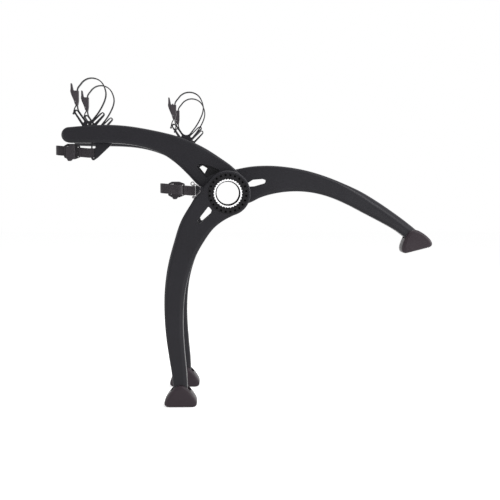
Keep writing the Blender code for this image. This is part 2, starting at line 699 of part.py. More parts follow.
def strap_path():
    """From the buckle's foot down through the saddle, up and over, and back into the buckle's head."""
    rest = STRAP_THICKNESS / 2 + FIT
    lying = offset(SADDLE, rest)[:-1]
    low = [(STRAP_IN_BUCKLE, BUCKLE_FOOT + up) for up in STRAP_LOW_END]
    high = [(STRAP_IN_BUCKLE, BUCKLE_HEAD + up) for up in STRAP_HIGH_END]
    return through([*low, *lying, *STRAP_LOOP, *high], STRAP_POINT_SPACING)


def make_ladder_strap(name, hinge):
    outline = band(strap_path(), STRAP_THICKNESS)
    return slab(name, [outline], STRAP_WIDTH, STRAP_RUBBER, PARTS, parent=hinge)


def make_buckle(name, hinge):
    """Channel frame: a back plate behind the strap and two side plates that carry the lever's pin."""
    inner = STRAP_WIDTH / 2 + FIT
    back = STRAP_IN_BUCKLE + STRAP_THICKNESS / 2 + FIT
    outline = [
        (back + BUCKLE_WALL, BUCKLE_FOOT + BUCKLE_LIP), (back + BUCKLE_WALL, BUCKLE_HEAD), *BUCKLE_FRONT,
        (back, BUCKLE_FOOT),
    ]
    frame = slab(name, [outline], 2 * (inner + BUCKLE_WALL), BUCKLE_PLASTIC, PARTS, parent=hinge)
    channel = box_outline(
        back - BUCKLE_HEAD + BUCKLE_FOOT, back, BUCKLE_FOOT - CUTTER_OVERRUN, BUCKLE_HEAD + CUTTER_OVERRUN
    )
    cut(frame, slab(f"{name}_channel", [channel], 2 * inner, None, CUTTERS, parent=hinge))
    pin_place = (LEVER_PIVOT[0], 0, LEVER_PIVOT[1])
    length = 2 * (inner + BUCKLE_WALL)
    hole = rod(
        f"{name}_pin_hole", pin_place, LEVER_PIN_RADIUS + FIT, 2 * length, "Y", None, CUTTERS, 10, parent=hinge
    )
    cut(frame, hole)
    rod(f"{name}_pin", pin_place, LEVER_PIN_RADIUS, length, "Y", STEEL, PARTS, 10, parent=hinge)
    return frame


def make_lever(name, hinge):
    """Wedge between the frame's side plates, with the pull tail above it. Its origin is on its pin."""
    u, w = LEVER_PIVOT
    heel = arc(LEVER_PIVOT, LEVER_HEEL_RADIUS, -150, 0, 6)
    tail = arc(TAIL_TIP, TAIL_RADIUS, 10, 170, 4)
    local = [(x - u, z - w) for x, z in [*heel, *LEVER_BACK, *tail, *LEVER_FRONT]]
    lever = slab(name, [local], 2 * (STRAP_WIDTH / 2 - FIT), BUCKLE_PLASTIC, PARTS, parent=hinge)
    lever.location = (u, 0, w)
    hole = rod(
        f"{name}_pin_hole", (u, 0, w), LEVER_PIN_RADIUS + FIT, 2 * STRAP_WIDTH, "Y", None, CUTTERS, 10,
        parent=hinge,
    )
    cut(lever, hole)
    return lever


def make_tab(name, hinge):
    """Tongue from the buckle's foot to the cradle's left wing, with a bead that hooks behind its tip."""
    left = STRAP_IN_BUCKLE - STRAP_THICKNESS / 2 - 2 * FIT - TAB_THICKNESS / 2
    wing = LEFT_WING_TIP[0]
    bead = (wing[0] - BEAD_RADIUS - FIT, wing[1] - TAB_THICKNESS / 2)
    path = [(left, BUCKLE_FOOT + 0.0040), (left - 0.0006, BUCKLE_FOOT - 0.0020), TAB_BEND, (bead[0], wing[1])]
    outline = band(through(path, TAB_POINT_SPACING), TAB_THICKNESS)
    tab = slab(name, [outline], TAB_WIDTH, STRAP_RUBBER, PARTS, parent=hinge)
    place = (bead[0], 0, bead[1])
    join(tab, rod(f"{name}_bead", place, BEAD_RADIUS, TAB_WIDTH, "Y", None, CUTTERS, 12, parent=hinge))
    return tab


def make_cradle_sets(arm_name, plane, top):
    for i, place in enumerate(CRADLE_PLACES, 1):
        x, z, slope = seat_on(top, place)
        hinge = hinge_empty(f"{arm_name}_cradle_{i}_base", (x, plane, z))
        tag = f"{arm_name}_{i}"
        make_cradle(f"cradle_{tag}", hinge, slope, CRADLE_SHIFTS[i - 1], BASE_HOLES[i - 1])
        make_ladder_strap(f"ladder_strap_{tag}", hinge)
        make_buckle(f"ratchet_frame_{tag}", hinge)
        make_lever(f"ratchet_lever_{tag}", hinge)
        make_tab(f"buckle_tab_{tag}", hinge)


# Webbing straps

def plan(name, outlines, height, spec, collection, hinge, middle_z=0.0):
    """An outline in X and Y, with height along Z."""
    mesh = flat_mesh(name, outlines, height)
    return add(name, mesh, spec, collection, (0, 0, middle_z), hinge)


def rise(distance):
    """How far a stored strap has climbed at this distance from its bar."""
    return ROLL_RISE * max(0.0, distance - ROLL_LEVEL)


def lift(obj):
    for vertex in obj.data.vertices:
        vertex.co.z += rise(-vertex.co.x)


def roll_path(side, reach):
    """Flat spiral from the core out, then under the buckle's plate, up through it and under the cam.

    It is seen from above and is one unbroken path.
    """
    buckle_start, roll_start = reach
    outer = ROLL_CORE + ROLL_PITCH * ROLL_TURNS
    run = ROLL_LENGTH - 2 * outer - WEB_THICKNESS
    middle_x = -(roll_start + ROLL_LENGTH / 2)
    on_plate = CAM_PLATE / 2 + FIT + WEB_THICKNESS / 2
    middle_y = -(outer + on_plate)
    steps = 6
    points = []
    for half_turn in range(2 * ROLL_TURNS):
        end = 1 if half_turn % 2 == 0 else -1
        for i in range(steps + 1):
            turned = half_turn / 2 + i / steps / 2
            radius = ROLL_CORE + ROLL_PITCH * turned
            angle = math.pi * (0.5 - 2 * turned)
            centre_x = middle_x + end * run / 2
            points.append((centre_x + radius * math.cos(angle), middle_y + radius * math.sin(angle)))
    slot_middle = -(buckle_start + CAM_LENGTH - FRONT_SLOT_START - FRONT_SLOT_LENGTH / 2)
    points += [(slot_middle - 0.0030, -on_plate), (slot_middle + 0.0025, on_plate)]
    points.append((-(buckle_start + CAM_PIVOT_SHARE * CAM_LENGTH) + TAIL_PAST_CAM, on_plate))
    return [(x, side * y) for x, y in points]


def least_gap(path, thickness):
    """Smallest clear distance of a strip to itself, a centimetre or more further along it."""
    points, runs = [], []
    for a, b in zip(path, path[1:]):
        a, b = Vector(a), Vector(b)
        steps = max(1, round((b - a).length / 0.0005))
        for i in range(steps):
            points.append(a.lerp(b, i / steps))
            runs.append((runs[-1] if runs else 0.0) + (b - a).length / steps)
    closest = min(
        (points[i] - points[j]).length
        for i in range(len(points))
        for j in range(i + 1, len(points))
        if runs[j] - runs[i] > 0.010
    )
    return closest - thickness


def loop_outlines(bar_gap, reach):
    """Sewn loop round the holding bar at the origin and round the buckle's bar, pinched together between them."""
    near = bar_gap + WEB_THICKNESS / 2
    pinch = (WEB_THICKNESS + WEB_LAYER_GAP) / 2
    far = math.hypot(CAM_BAR, CAM_PLATE) / 2 + FIT + WEB_THICKNESS / 2
    path = [
        *arc((0, 0), near, -115, 115, 10), (-near - 0.0045, pinch), (-reach + far + 0.0045, pinch),
        *arc((-reach, 0), far, 70, 290, 10), (-reach + far + 0.0045, -pinch), (-near - 0.0045, -pinch),
    ]
    return [offset(path, -WEB_THICKNESS / 2, True), offset(path, WEB_THICKNESS / 2, True)]


def make_web_strap(tag, hinge, side, bar_gap, reach):
    """One stored strap: sewn loop, roll, cam buckle frame, pin and lever.

    `side` is the buckle's side of the roll.
    """
    buckle_start = reach[0]
    outlines = loop_outlines(bar_gap, buckle_start + CAM_BAR / 2)
    sewn = plan(f"webbing_loop_{tag}", outlines, WEB_WIDTH, WEBBING, PARTS, hinge)
    lift(sewn)
    strip = band(roll_path(side, reach), WEB_THICKNESS)
    lift(plan(f"webbing_roll_{tag}", [strip], WEB_WIDTH, WEBBING, PARTS, hinge))
    make_cam_buckle(tag, hinge, side, buckle_start)


def make_cam_buckle(tag, hinge, side, start):
    level = rise(start + CAM_LENGTH / 2)
    half, end_half = CAM_HEIGHT / 2, CAM_END_HEIGHT / 2
    slot = WEB_WIDTH / 2 + CAM_SLOT_FIT
    left, right = -start - CAM_LENGTH, -start
    waist = ((right - CAM_SHOULDERS[0], half), (left + CAM_SHOULDERS[1], half))
    upper = [(right, end_half), *waist, (left, end_half)]
    outline = rounded([(x, level + z) for x, z in upper + [(x, -z) for x, z in reversed(upper)]], 0.004, 2)
    slots = []
    front_right = left + FRONT_SLOT_START + FRONT_SLOT_LENGTH
    for inner, length in ((right - CAM_BAR, REAR_SLOT_LENGTH), (front_right, FRONT_SLOT_LENGTH)):
        middle = rise(length / 2 - inner)
        slots.append(box_outline(inner - length, inner, middle - slot, middle + slot))
    name = f"cam_frame_{tag}"
    frame = slab(name, [outline, *slots], CAM_PLATE, BUCKLE_PLASTIC, PARTS, parent=hinge)
    for end_name, end in (("low", -1), ("high", 1)):
        outer, inner = level + end * (half - FIT), level + end * (half - CAM_WALL)
        cheek = block(
            f"{name}_cheek_{end_name}",
            (left + CAM_SHOULDERS[1] + CAM_PLATE / 2, min(0, side * CAM_CHEEK), min(outer, inner)),
            (right - CAM_SHOULDERS[0] - CAM_PLATE / 2, max(0, side * CAM_CHEEK), max(outer, inner)),
            CUTTERS, hinge,
        )
        join(frame, cheek)
    pivot = (-start - CAM_PIVOT_SHARE * CAM_LENGTH, side * CAM_PIVOT_HEIGHT, level)
    cut(frame, rod(f"{name}_pin_hole", pivot, CAM_PIN_RADIUS + FIT, 2 * CAM_HEIGHT, "Z", None, CUTTERS, 10, hinge))
    pin_length = CAM_HEIGHT - 2 * FIT
    rod(f"cam_pin_{tag}", pivot, CAM_PIN_RADIUS, pin_length, "Z", STEEL, PARTS, 10, hinge)
    make_cam_lever(tag, hinge, side, pivot)


def make_cam_lever(tag, hinge, side, pivot):
    """Cam between the cheeks, and a thumb plate over them. Its origin is on its pin."""
    name = f"cam_lever_{tag}"
    plate_low = CAM_CHEEK - CAM_PIVOT_HEIGHT + 2 * FIT
    plate_middle = plate_low + THUMB_THICKNESS / 2
    heel = [*arc((0, 0), CAM_RADIUS, -180, 50, 10), *((x, plate_middle) for x in CAM_WEB)]
    cam_height = CAM_HEIGHT - 2 * CAM_WALL - 2 * FIT
    lever = plan(name, [[(x, side * y) for x, y in heel]], cam_height, BUCKLE_PLASTIC, PARTS, hinge)
    lever.location = pivot
    thumb = slab(
        f"{name}_thumb", [rounded(THUMB_OUTLINE, THUMB_ROUND, 2)], THUMB_THICKNESS, None, CUTTERS, parent=hinge
    )
    thumb.location = (pivot[0], pivot[1] + side * plate_middle, pivot[2])
    join(lever, thumb)
    hole = rod(f"{name}_pin_hole", pivot, CAM_PIN_RADIUS + FIT, 2 * CAM_HEIGHT, "Z", None, CUTTERS, 10, hinge)
    cut(lever, hole)
    return lever


def make_bracket(plane, under):
    """Gusset below the near arm, with a slot that leaves a bar for the strap's loop."""
    top = bracket_top(under)
    bottom = top - BRACKET_DROP
    left, end = BRACKET_X - BRACKET_BAR / 2, BRACKET_X + BRACKET_LENGTH
    outline = [
        (left, top), (left, bottom + BRACKET_TOE), (left + BRACKET_TOE, bottom),
        *((BRACKET_X + right, bottom + up) for right, up in BRACKET_UNDER),
        (end - BRACKET_LIP[0], top - BRACKET_LIP[1]), (end, top),
    ]
    inner = left + BRACKET_BAR
    low, high = bottom + BRACKET_SLOT_ENDS[0], top - BRACKET_SLOT_ENDS[1]
    wide, shoulder = inner + BRACKET_KEYHOLE[0], high - BRACKET_KEYHOLE[1]
    narrow = inner + BRACKET_SLOT
    corners = [(inner, low), (narrow, low), (narrow, shoulder), (wide, shoulder), (wide, high), (inner, high)]
    slot = rounded(corners, OPENING_ROUND, 2)
    return slab("strap_bracket", [outline, slot], BRACKET_THICKNESS, BLACK_PLASTIC, PARTS, middle_y=plane)


def make_wire_ring(hinge):
    """Bent wire: an upright bar, a bow that comes to a point, and an eye at each end of the bar."""
    half = WEB_WIDTH / 2 + RING_PAST_WEB
    right = RING_RIGHT_X - RING_BAR_X
    barrel = BARREL_Z - RING_MIDDLE_Z
    corners = [
        (0, -half), (RING_BOW[0], -half), (right, barrel - BARREL_HEIGHT), (right, barrel + BARREL_HEIGHT),
        (RING_BOW[1], half), (0, half),
    ]
    mesh = wire_mesh("strap_ring", rounded(corners, 2 * WIRE_RADIUS, 2))
    obj = add("strap_ring", mesh, STEEL, PARTS, parent=hinge)
    for tag, end, (aside, past), radius in RING_EYES:
        eye = wire_mesh(f"eye_{tag}", ring(radius, 10, (aside, end * (half + past))))
        join(obj, add(f"strap_ring_eye_{tag}", eye, None, CUTTERS, parent=hinge))
    return obj


def wire_mesh(name, path):
    """Round wire along a closed path in X and Z."""
    curve = bpy.data.curves.new(name, "CURVE")
    curve.dimensions = "3D"
    curve.bevel_depth = WIRE_RADIUS
    curve.bevel_resolution = 1
    spline = curve.splines.new("POLY")
    spline.points.add(len(path) - 1)
    for point, (x, z) in zip(spline.points, path):
        point.co = (x, 0, z, 1)
    spline.use_cyclic_u = True
    obj = bpy.data.objects.new(name, curve)
    bpy.context.scene.collection.objects.link(obj)
    bpy.context.view_layer.update()
    mesh = bpy.data.meshes.new_from_object(obj.evaluated_get(bpy.context.evaluated_depsgraph_get()))
    bpy.data.objects.remove(obj)
    return mesh


def make_ring_plate(plane, ring_y):
    """Three-cornered plate on the leg's face, with a barrel that the ring's bow turns in."""
    face = plane - ARC_WIDTH / 2 - FIT
    back = face - PLATE_THICKNESS
    name = "ring_plate"
    outline = rounded(PLATE_OUTLINE, PLATE_THICKNESS, 2)
    plate = slab(name, [outline], PLATE_THICKNESS, BLACK_PLASTIC, PARTS, middle_y=(face + back) / 2)
    front = ring_y - WIRE_RADIUS - PLATE_THICKNESS
    low, high = BARREL_Z - BARREL_HEIGHT / 2, BARREL_Z + BARREL_HEIGHT / 2
    left = RING_RIGHT_X - BARREL_LENGTH / 2
    barrel_outline = rounded(box_outline(left, left + BARREL_LENGTH, low, high), 0.0012, 1)
    rear = face - FIT
    join(plate, slab(f"{name}_barrel", [barrel_outline], rear - front, None, CUTTERS, middle_y=(rear + front) / 2))
    centre = (RING_RIGHT_X, ring_y, BARREL_Z)
    cut(plate, rod(f"{name}_hole", centre, WIRE_RADIUS + 2 * FIT, 3 * BARREL_HEIGHT, "Z", None, CUTTERS, 10))
    return plate


# The rack

clear_scene()
PARTS = new_collection("trunk_bike_rack")
CUTTERS = new_collection("cutters")

make_tube()
for side_name, side_sign in (("near", -1), ("far", 1)):
    leg_y, arm_y = side_sign * LEG_PLANE, side_sign * ARM_PLANE
    make_bush(f"leg_bush_{side_name}", leg_y, pocket_side=side_sign)
    make_bush(f"arm_bush_{side_name}", arm_y)
    bush_half = ARC_WIDTH / 2 - BUSH_RECESS
    make_retaining_ring(f"arm_ring_{side_name}", arm_y - side_sign * bush_half, -side_sign)
    make_retaining_ring(f"upper_ring_{side_name}", side_sign * bush_half, side_sign)
    make_lower_leg(f"lower_leg_{side_name}", leg_y)
    make_foot(f"lower_foot_{side_name}", LOWER_PIVOT, leg_y, 0.0)
    arm_top, arm_under = make_arm(f"bike_arm_{side_name}", arm_y, has_bracket=side_name == "near")
    make_cradle_sets(side_name, arm_y, arm_top)
make_bush("upper_bush", 0.0)
make_upper_leg("upper_leg", 0.0)
make_foot("upper_foot", UPPER_PIVOT, 0.0, UPPER_FOOT_TILT)

make_bracket(-ARM_PLANE, arm_under)
strap_a_z = bracket_top(arm_under) - STRAP_A_DROP - WEB_WIDTH / 2
bar_a = hinge_empty("stored_strap_a", (BRACKET_X, -ARM_PLANE, strap_a_z))
make_web_strap("a", bar_a, -1, math.hypot(BRACKET_BAR, BRACKET_THICKNESS) / 2 + LOOP_SLACK, STRAP_A_REACH)

ring_plane = -LEG_PLANE - ARC_WIDTH / 2 - RING_STAND_OFF
bar_b = hinge_empty("stored_strap_b", (RING_BAR_X, ring_plane, RING_MIDDLE_Z))
make_wire_ring(bar_b)
make_ring_plate(-LEG_PLANE, ring_plane)
make_web_strap("b", bar_b, 1, WIRE_RADIUS + FIT, STRAP_B_REACH)

roll_gap = least_gap(roll_path(1, STRAP_B_REACH), WEB_THICKNESS)
print(f"webbing roll: least gap to itself {1000 * roll_gap:.2f} mm")
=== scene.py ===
"""Looks of the trunk bike rack: finishes, finer shapes for its pieces, floor, light and camera.

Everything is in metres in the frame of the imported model: +Z up, -Y the near side, +X towards the vehicle.
"""

import json
import math

import bmesh
import bpy
from mathutils import Matrix, Vector

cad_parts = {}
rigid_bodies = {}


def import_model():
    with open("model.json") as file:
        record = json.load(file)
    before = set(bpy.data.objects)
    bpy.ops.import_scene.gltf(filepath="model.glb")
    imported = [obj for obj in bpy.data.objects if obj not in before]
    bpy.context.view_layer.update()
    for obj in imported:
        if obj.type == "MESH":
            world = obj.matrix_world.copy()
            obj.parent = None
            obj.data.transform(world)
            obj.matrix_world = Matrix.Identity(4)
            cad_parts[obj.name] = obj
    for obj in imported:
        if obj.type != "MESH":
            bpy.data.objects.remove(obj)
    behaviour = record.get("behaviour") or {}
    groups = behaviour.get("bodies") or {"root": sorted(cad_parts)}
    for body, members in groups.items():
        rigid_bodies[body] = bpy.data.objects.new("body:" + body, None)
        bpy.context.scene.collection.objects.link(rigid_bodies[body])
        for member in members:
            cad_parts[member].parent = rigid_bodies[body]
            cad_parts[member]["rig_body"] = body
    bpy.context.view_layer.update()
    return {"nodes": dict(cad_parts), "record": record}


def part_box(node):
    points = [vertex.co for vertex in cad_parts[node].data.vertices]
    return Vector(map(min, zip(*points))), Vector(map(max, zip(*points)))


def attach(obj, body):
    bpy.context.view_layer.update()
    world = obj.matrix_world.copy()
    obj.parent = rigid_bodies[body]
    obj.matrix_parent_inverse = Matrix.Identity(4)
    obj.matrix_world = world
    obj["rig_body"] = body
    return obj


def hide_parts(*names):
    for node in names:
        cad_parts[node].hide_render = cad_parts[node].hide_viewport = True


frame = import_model()
NODES = frame["nodes"]

# Camera, solved from the photograph's perspective
CAMERA_PLACE = (-0.00792, -3.127, 0.011625)
CAMERA_YAW = math.radians(1.2846)
CAMERA_PITCH = math.radians(3.1365)
CAMERA_FIELD = math.radians(25.3145)

# Sizes that repeat the model's. Outlines and pivots are pairs of X and Z, a stored strap's bar X and Y.
WEB_THICKNESS = 0.0016
WEB_WIDTH = 0.0254
WEB_LAYER_GAP = 0.0008
ROLL_TURNS = 4
ROLL_PITCH = 0.0022
ROLL_CORE = 0.0018
ROLL_LENGTH = 0.0605
ROLL_RISE = 0.087
ROLL_LEVEL = 0.008
FIT = 0.0003
CAM_LENGTH = 0.0440
CAM_PLATE = 0.0020
CAM_PIVOT_SHARE = 0.38
FRONT_SLOT_START = 0.0070
FRONT_SLOT_LENGTH = 0.0080
SLOT_ENTRY = 0.0030  # from that slot's middle to the webbing's last point before the plate
SLOT_EXIT = 0.0025  # and to its first point past it
TAIL_PAST_CAM = 0.0040
STRAP_A_BAR = (-0.3662, -0.1100)
STRAP_A_REACH = (0.0310, 0.0380)  # from that bar to the buckle and to the roll
STRAP_B_BAR = (-0.0900, -0.1815)
STRAP_B_REACH = (0.0240, 0.0280)
CAM_BAR = 0.0040
LOOP_PINCH = 0.0045  # from a fold's end to where the loop's two faces meet
LOOP_SLACK = 0.0012
LOOP_BAR_ARC = (-115, 115)  # degrees
LOOP_BUCKLE_ARC = (70, 290)
BRACKET_BAR = 0.0036
BRACKET_THICKNESS = 0.0056
BAR_A_GAP = math.hypot(BRACKET_BAR, BRACKET_THICKNESS) / 2 + LOOP_SLACK
BAR_B_GAP = 0.0018  # the wire's radius and a fit
STRAP_THICKNESS = 0.0030
STRAP_WIDTH = 0.0140
STRAP_POINT_SPACING = 0.0100
STRAP_IN_BUCKLE = -0.0315
STRAP_LOW_END = (0.0050, -0.0040)  # heights of its points there, from the buckle's foot
STRAP_HIGH_END = (0.0015, -0.0030, -0.0180)  # the same, from the buckle's head
BUCKLE_FOOT = 0.0580
BUCKLE_HEAD = 0.0955
SADDLE = (
    (-0.0310, 0.0430), (-0.0243, 0.0322), (-0.0165, 0.0214), (-0.0085, 0.0136), (-0.0008, 0.0114),
    (0.0072, 0.0134), (0.0152, 0.0222), (0.0226, 0.0314), (0.0296, 0.0384),
)
STRAP_LOOP = (
    (0.0366, 0.0581), (0.0422, 0.0713), (0.0450, 0.0873), (0.0406, 0.1058), (0.0327, 0.1190),
    (0.0215, 0.1265), (0.0085, 0.1293), (-0.0048, 0.1271), (-0.0156, 0.1206), (-0.0236, 0.1112),
    (-0.0296, 0.1032),
)
TUBE_END = 0.1800
TUBE_BORE = 0.0331
LEG_PLANE = 0.1550
BUSH_BORE_RADIUS = 0.0540
HUB_RADIUS = 0.0600
ARC_WIDTH = 0.0440
ARM_PLANE = 0.1100
FOOT_LENGTH = 0.0870
FOOT_CHEEK = 0.0095
FOOT_SOLE_DEPTH = 0.0400
FOOT_CROWN = 0.0180
FOOT_SIDE = (  # as shares of half its length and of its height
    (0.74, 0.0), (0.89, 0.03), (0.98, 0.10), (1.0, 0.20), (0.965, 0.32), (0.85, 0.48), (0.69, 0.65),
    (0.51, 0.80), (0.31, 0.93), (0.11, 1.0),
)
FOOT_SWING = 44  # degrees that the slot's ends lean, each way
FOOT_SLOT_FIT = 0.0004
KNUCKLE_RADIUS = 0.0185
LOWER_PIVOT = (-0.1270, -0.5300)
LOWER_END_LEAN = 7  # degrees
LOWER_LEG_HUB_ARC = (-75, 150)  # degrees
UPPER_PIVOT = (0.5220, -0.1210)
UPPER_END_LEAN = 53
UPPER_LEG_HUB_ARC = (97.5, 330)
UPPER_FOOT_TILT = math.radians(-14.3)
LOWER_LEG_BACK = (
    (-0.0785, 0.0040), (-0.0990, -0.0290), (-0.1234, -0.0703), (-0.1448, -0.1339), (-0.1595, -0.1900),
    (-0.1685, -0.2550), (-0.1696, -0.3200), (-0.1650, -0.3850), (-0.1565, -0.4450), (-0.1500, -0.4860),
)
LOWER_LEG_FRONT = (
    (-0.0090, -0.0705), (-0.0345, -0.0895), (-0.0645, -0.1290), (-0.0865, -0.1690), (-0.1030, -0.2130),
    (-0.1140, -0.2600), (-0.1193, -0.3120), (-0.1196, -0.3680), (-0.1155, -0.4300), (-0.1105, -0.4860),
)
UPPER_LEG_TOP = (
    (0.0255, 0.0670), (0.0620, 0.0738), (0.1117, 0.0766), (0.1657, 0.0727), (0.2190, 0.0630),
    (0.2723, 0.0470), (0.3220, 0.0275), (0.3715, 0.0050), (0.4200, -0.0235), (0.4620, -0.0520),
    (0.4985, -0.0785),
)
UPPER_LEG_UNDER = (
    (0.0640, -0.0255), (0.0912, -0.0123), (0.1340, -0.0005), (0.1870, 0.0048), (0.2380, 0.0010),
    (0.2880, -0.0120), (0.3350, -0.0320), (0.3810, -0.0560), (0.4290, -0.0810), (0.4720, -0.1055),
)
ARM_TOP = (
    (0.0056, 0.0768), (-0.0212, 0.0955), (-0.0539, 0.1168), (-0.0965, 0.1385), (-0.1388, 0.1540),
    (-0.1762, 0.1635), (-0.2200, 0.1725), (-0.2642, 0.1795), (-0.3095, 0.1830), (-0.3500, 0.1826),
    (-0.3947, 0.1798),
)
ARM_UNDER = (
    (-0.0800, 0.0220), (-0.1076, 0.0505), (-0.1383, 0.0796), (-0.1751, 0.1050), (-0.2149, 0.1205),
    (-0.2432, 0.1275), (-0.2760, 0.1322), (-0.3120, 0.1345), (-0.3560, 0.1350), (-0.3950, 0.1352),
)
ARM_TIP = (-0.4250, 0.1565)
ARM_TIP_RADIUS = 0.0206
ARM_TIP_ARC = (93, 267)
ARM_HUB_ARC = (172.5, 405)
# Corners of the windows, as distances outside the hub's rim and angles in degrees
LOWER_LEG_WINDOW = ((0.0022, 213), (0.0022, 226), (0.0150, 230), (0.0540, 227.0), (0.0490, 221.5))
UPPER_LEG_WINDOW = (
    (0.0022, 17), (0.0022, 27), (0.0195, 28), (0.0460, 22), (0.0535, 18.5), (0.0475, 15), (0.0175, 14.5),
)
ARM_POCKET = (
    (0.0030, 106), (0.0030, 124), (0.0060, 132), (0.0118, 145), (0.0504, 139.2), (0.0495, 133), (0.0262, 122),
)
ARM_OPENING = ((0.0283, 128.4), (0.0221, 140.5), (0.0502, 137.6), (0.0478, 132.5))
ARM_WEB = 0.0060
WINDOW_ROUND = 0.0035
OPENING_ROUND = 0.0012

# Webbing, finer than the model's
WEFT_PERIOD = 0.0017  # along the strip
WARP_PERIOD = 0.0013  # across it
WEB_ROUNDED = 0.0008  # in from its edge to the end of its rounding
WEB_THINNED = 0.0022  # in from its edge to its full thickness
WEB_EDGE_SHARES = (0.35, 0.80)  # of its thickness, at its edge and where its rounding ends
FOLD_PADDING = 0.0007  # the most that a fold adds to its outer face
ROLL_STEP = 0.0022
ROLL_WAVE = 0.0004
ROLL_WAVE_RATE = 31.0  # radians a metre
LOOP_STEP = 0.0012
FOLD_STEPS = 12
HALF_TURN_STEPS = 10
STITCH_SPACING = 0.0026
STITCH_SIZE = (0.00104, 0.00022, 0.00030)  # half lengths
STITCH_LIFT = 0.0001
STITCH_ROWS = (-0.0105, -0.0075, -0.0045, -0.0015, 0.0015, 0.0045, 0.0075, 0.0105)
STITCH_START = 0.0055
STITCH_END = 0.0045

# Ladder straps, finer than the model's
LADDER_RAIL = 0.0030
LADDER_CHAMFER = 0.0006
LADDER_DRAFT = 0.0003
LADDER_FLOOR = 0.0014
TOOTH_HEIGHT = 0.0013
TOOTH_PROFILE = (0.0, 0.35, 1.0, 0.15)  # shares of a tooth's height, a step apart
LADDER_KNOT_STEP = 0.0040
LADDER_STEP = 0.00125
TOOTHED_RUN = (0.085, 0.285)

# Rounding of the arms, legs and feet: at a hub's rim, then on the face and the side
HUB_EDGE = 0.0038
FACE_EDGE = 0.0105
SIDE_EDGE = 0.0060
HUB_BLEND = 0.0600
UPPER_CROWN = 0.0130
CROWN_START = 0.2500
CROWN_BLEND = 0.1000
CROWN_DEPTH = 1.25
ARC_STEP = 0.0060
HUB_STEP = 3  # degrees
END_STEPS = 24
BORE_STEPS = 96
SLOT_STEPS = 28
FOOT_STEP = 0.0030
FOOT_PILLOW = 0.30
FOOT_PILLOW_MIDDLE = (0.0, -0.018)
FOOT_CHEEK_ROUND = 0.0075

# Fine rounding of the small pieces, by the starts of their names
FINE_EDGES = (
    ("cradle_", 0.0005), ("ratchet_frame", 0.0003), ("ratchet_lever", 0.0004), ("buckle_tab_", 0.0003),
    ("strap_bracket", 0.0005), ("ring_plate", 0.0003), ("cam_frame", 0.0004), ("cam_lever", 0.0004),
)
REBUILT = ("webbing_", "ladder_strap_", "lower_leg_", "bike_arm_", "upper_leg")  # as the feet are too
WELD = 1e-6
FLAT_DEG = 0.5  # faces this close to level with each other are joined
EDGE_DEG = 38  # edges sharper than this are rounded
SMOOTH_DEG = 32
FLAT_NORMAL = 0.99995

# Noise textures stay mostly between these
NOISE_LOW = 0.3
NOISE_HIGH = 0.7

# The floor, and the strengths of the plain white light that doesn't come from the lamps
WHITE = (1.0, 1.0, 1.0, 1.0)
WORLD_LIGHT = 0.55
FLOOR_GLOW = 0.55
FLOOR_REACH = 12.0
FLOOR_BELOW = 0.0004


# Curves

def arc(centre, radius, start_deg, end_deg, steps):
    """Points along an arc, from its start to its end."""
    angles = [math.radians(start_deg + (end_deg - start_deg) * i / steps) for i in range(steps + 1)]
    return [(centre[0] + radius * math.cos(a), centre[1] + radius * math.sin(a)) for a in angles]


def through(points, spacing):
    """A smooth curve through the points, as points about this far apart."""
    knots = [Vector(p) for p in points]
    gaps = [(b - a).length for a, b in zip(knots, knots[1:])]
    slopes = [(b - a) / gap for a, b, gap in zip(knots, knots[1:], gaps)]
    tangents = [slopes[0]]
    for before, after, i in zip(gaps, gaps[1:], range(len(gaps) - 1)):
        tangents.append((slopes[i] * after + slopes[i + 1] * before) / (before + after))
    tangents.append(slopes[-1])
    found = []
    for a, b, ta, tb, gap in zip(knots, knots[1:], tangents, tangents[1:], gaps):
        steps = max(1, round(gap / spacing))
        for i in range(steps):
            t = i / steps
            found.append(
                a * (1 + 2 * t) * (1 - t) ** 2
                + b * t * t * (3 - 2 * t)
                + ta * gap * t * (1 - t) ** 2
                - tb * gap * t * t * (1 - t)
            )
    return [tuple(p) for p in found + [knots[-1]]]


def offset(path, distance):
    """The open path moved to its left by this distance."""
    return [tuple(Vector(p) + side * distance) for p, side in zip(path, sides(path))]


def sides(path):
    """Unit vectors to the left of an open path at each of its points."""
    found = []
    for i in range(len(path)):
        before, after = Vector(path[max(i - 1, 0)]), Vector(path[min(i + 1, len(path) - 1)])
        along = (after - before).normalized()
        found.append(Vector((-along.y, along.x)))
    return found


def spaced(path, step):
    """The same path with its points an even step apart."""
    points = [Vector(p) for p in path]
    runs = [0.0]
    for a, b in zip(points, points[1:]):
        runs.append(runs[-1] + (b - a).length)
    count = max(2, round(runs[-1] / step))
    found, at = [], 0
    for i in range(count + 1):
        run = runs[-1] * i / count
        while at < len(runs) - 2 and runs[at + 1] < run:
            at += 1
        share = (run - runs[at]) / max(runs[at + 1] - runs[at], 1e-9)
        found.append(points[at].lerp(points[at + 1], min(share, 1.0)))
    return found


# Node materials

def node(tree, kind, inputs=(), **settings):
    """A node with its inputs' values and its own settings."""
    made = tree.nodes.new(kind)
    for key, value in settings.items():
        setattr(made, key, value)
    for key, value in dict(inputs).items():
        made.inputs[key].default_value = value
    return made


def link(tree, source, socket, target, target_socket):
    tree.links.new(source.outputs[socket], target.inputs[target_socket])


def object_place(tree):
    return node(tree, "ShaderNodeTexCoord").outputs["Object"]


def noise_at(tree, vector, scale, detail, **inputs):
    made = node(tree, "ShaderNodeTexNoise", {"Scale": scale, "Detail": detail, **inputs})
    tree.links.new(vector, made.inputs["Vector"])
    return made


def ranged(tree, source, socket, low, high, start=NOISE_LOW, end=NOISE_HIGH):
    """A value between start and end brought into the range from low to high."""
    made = node(
        tree, "ShaderNodeMapRange", {"From Min": start, "From Max": end, "To Min": low, "To Max": high}
    )
    link(tree, source, socket, made, "Value")
    return made


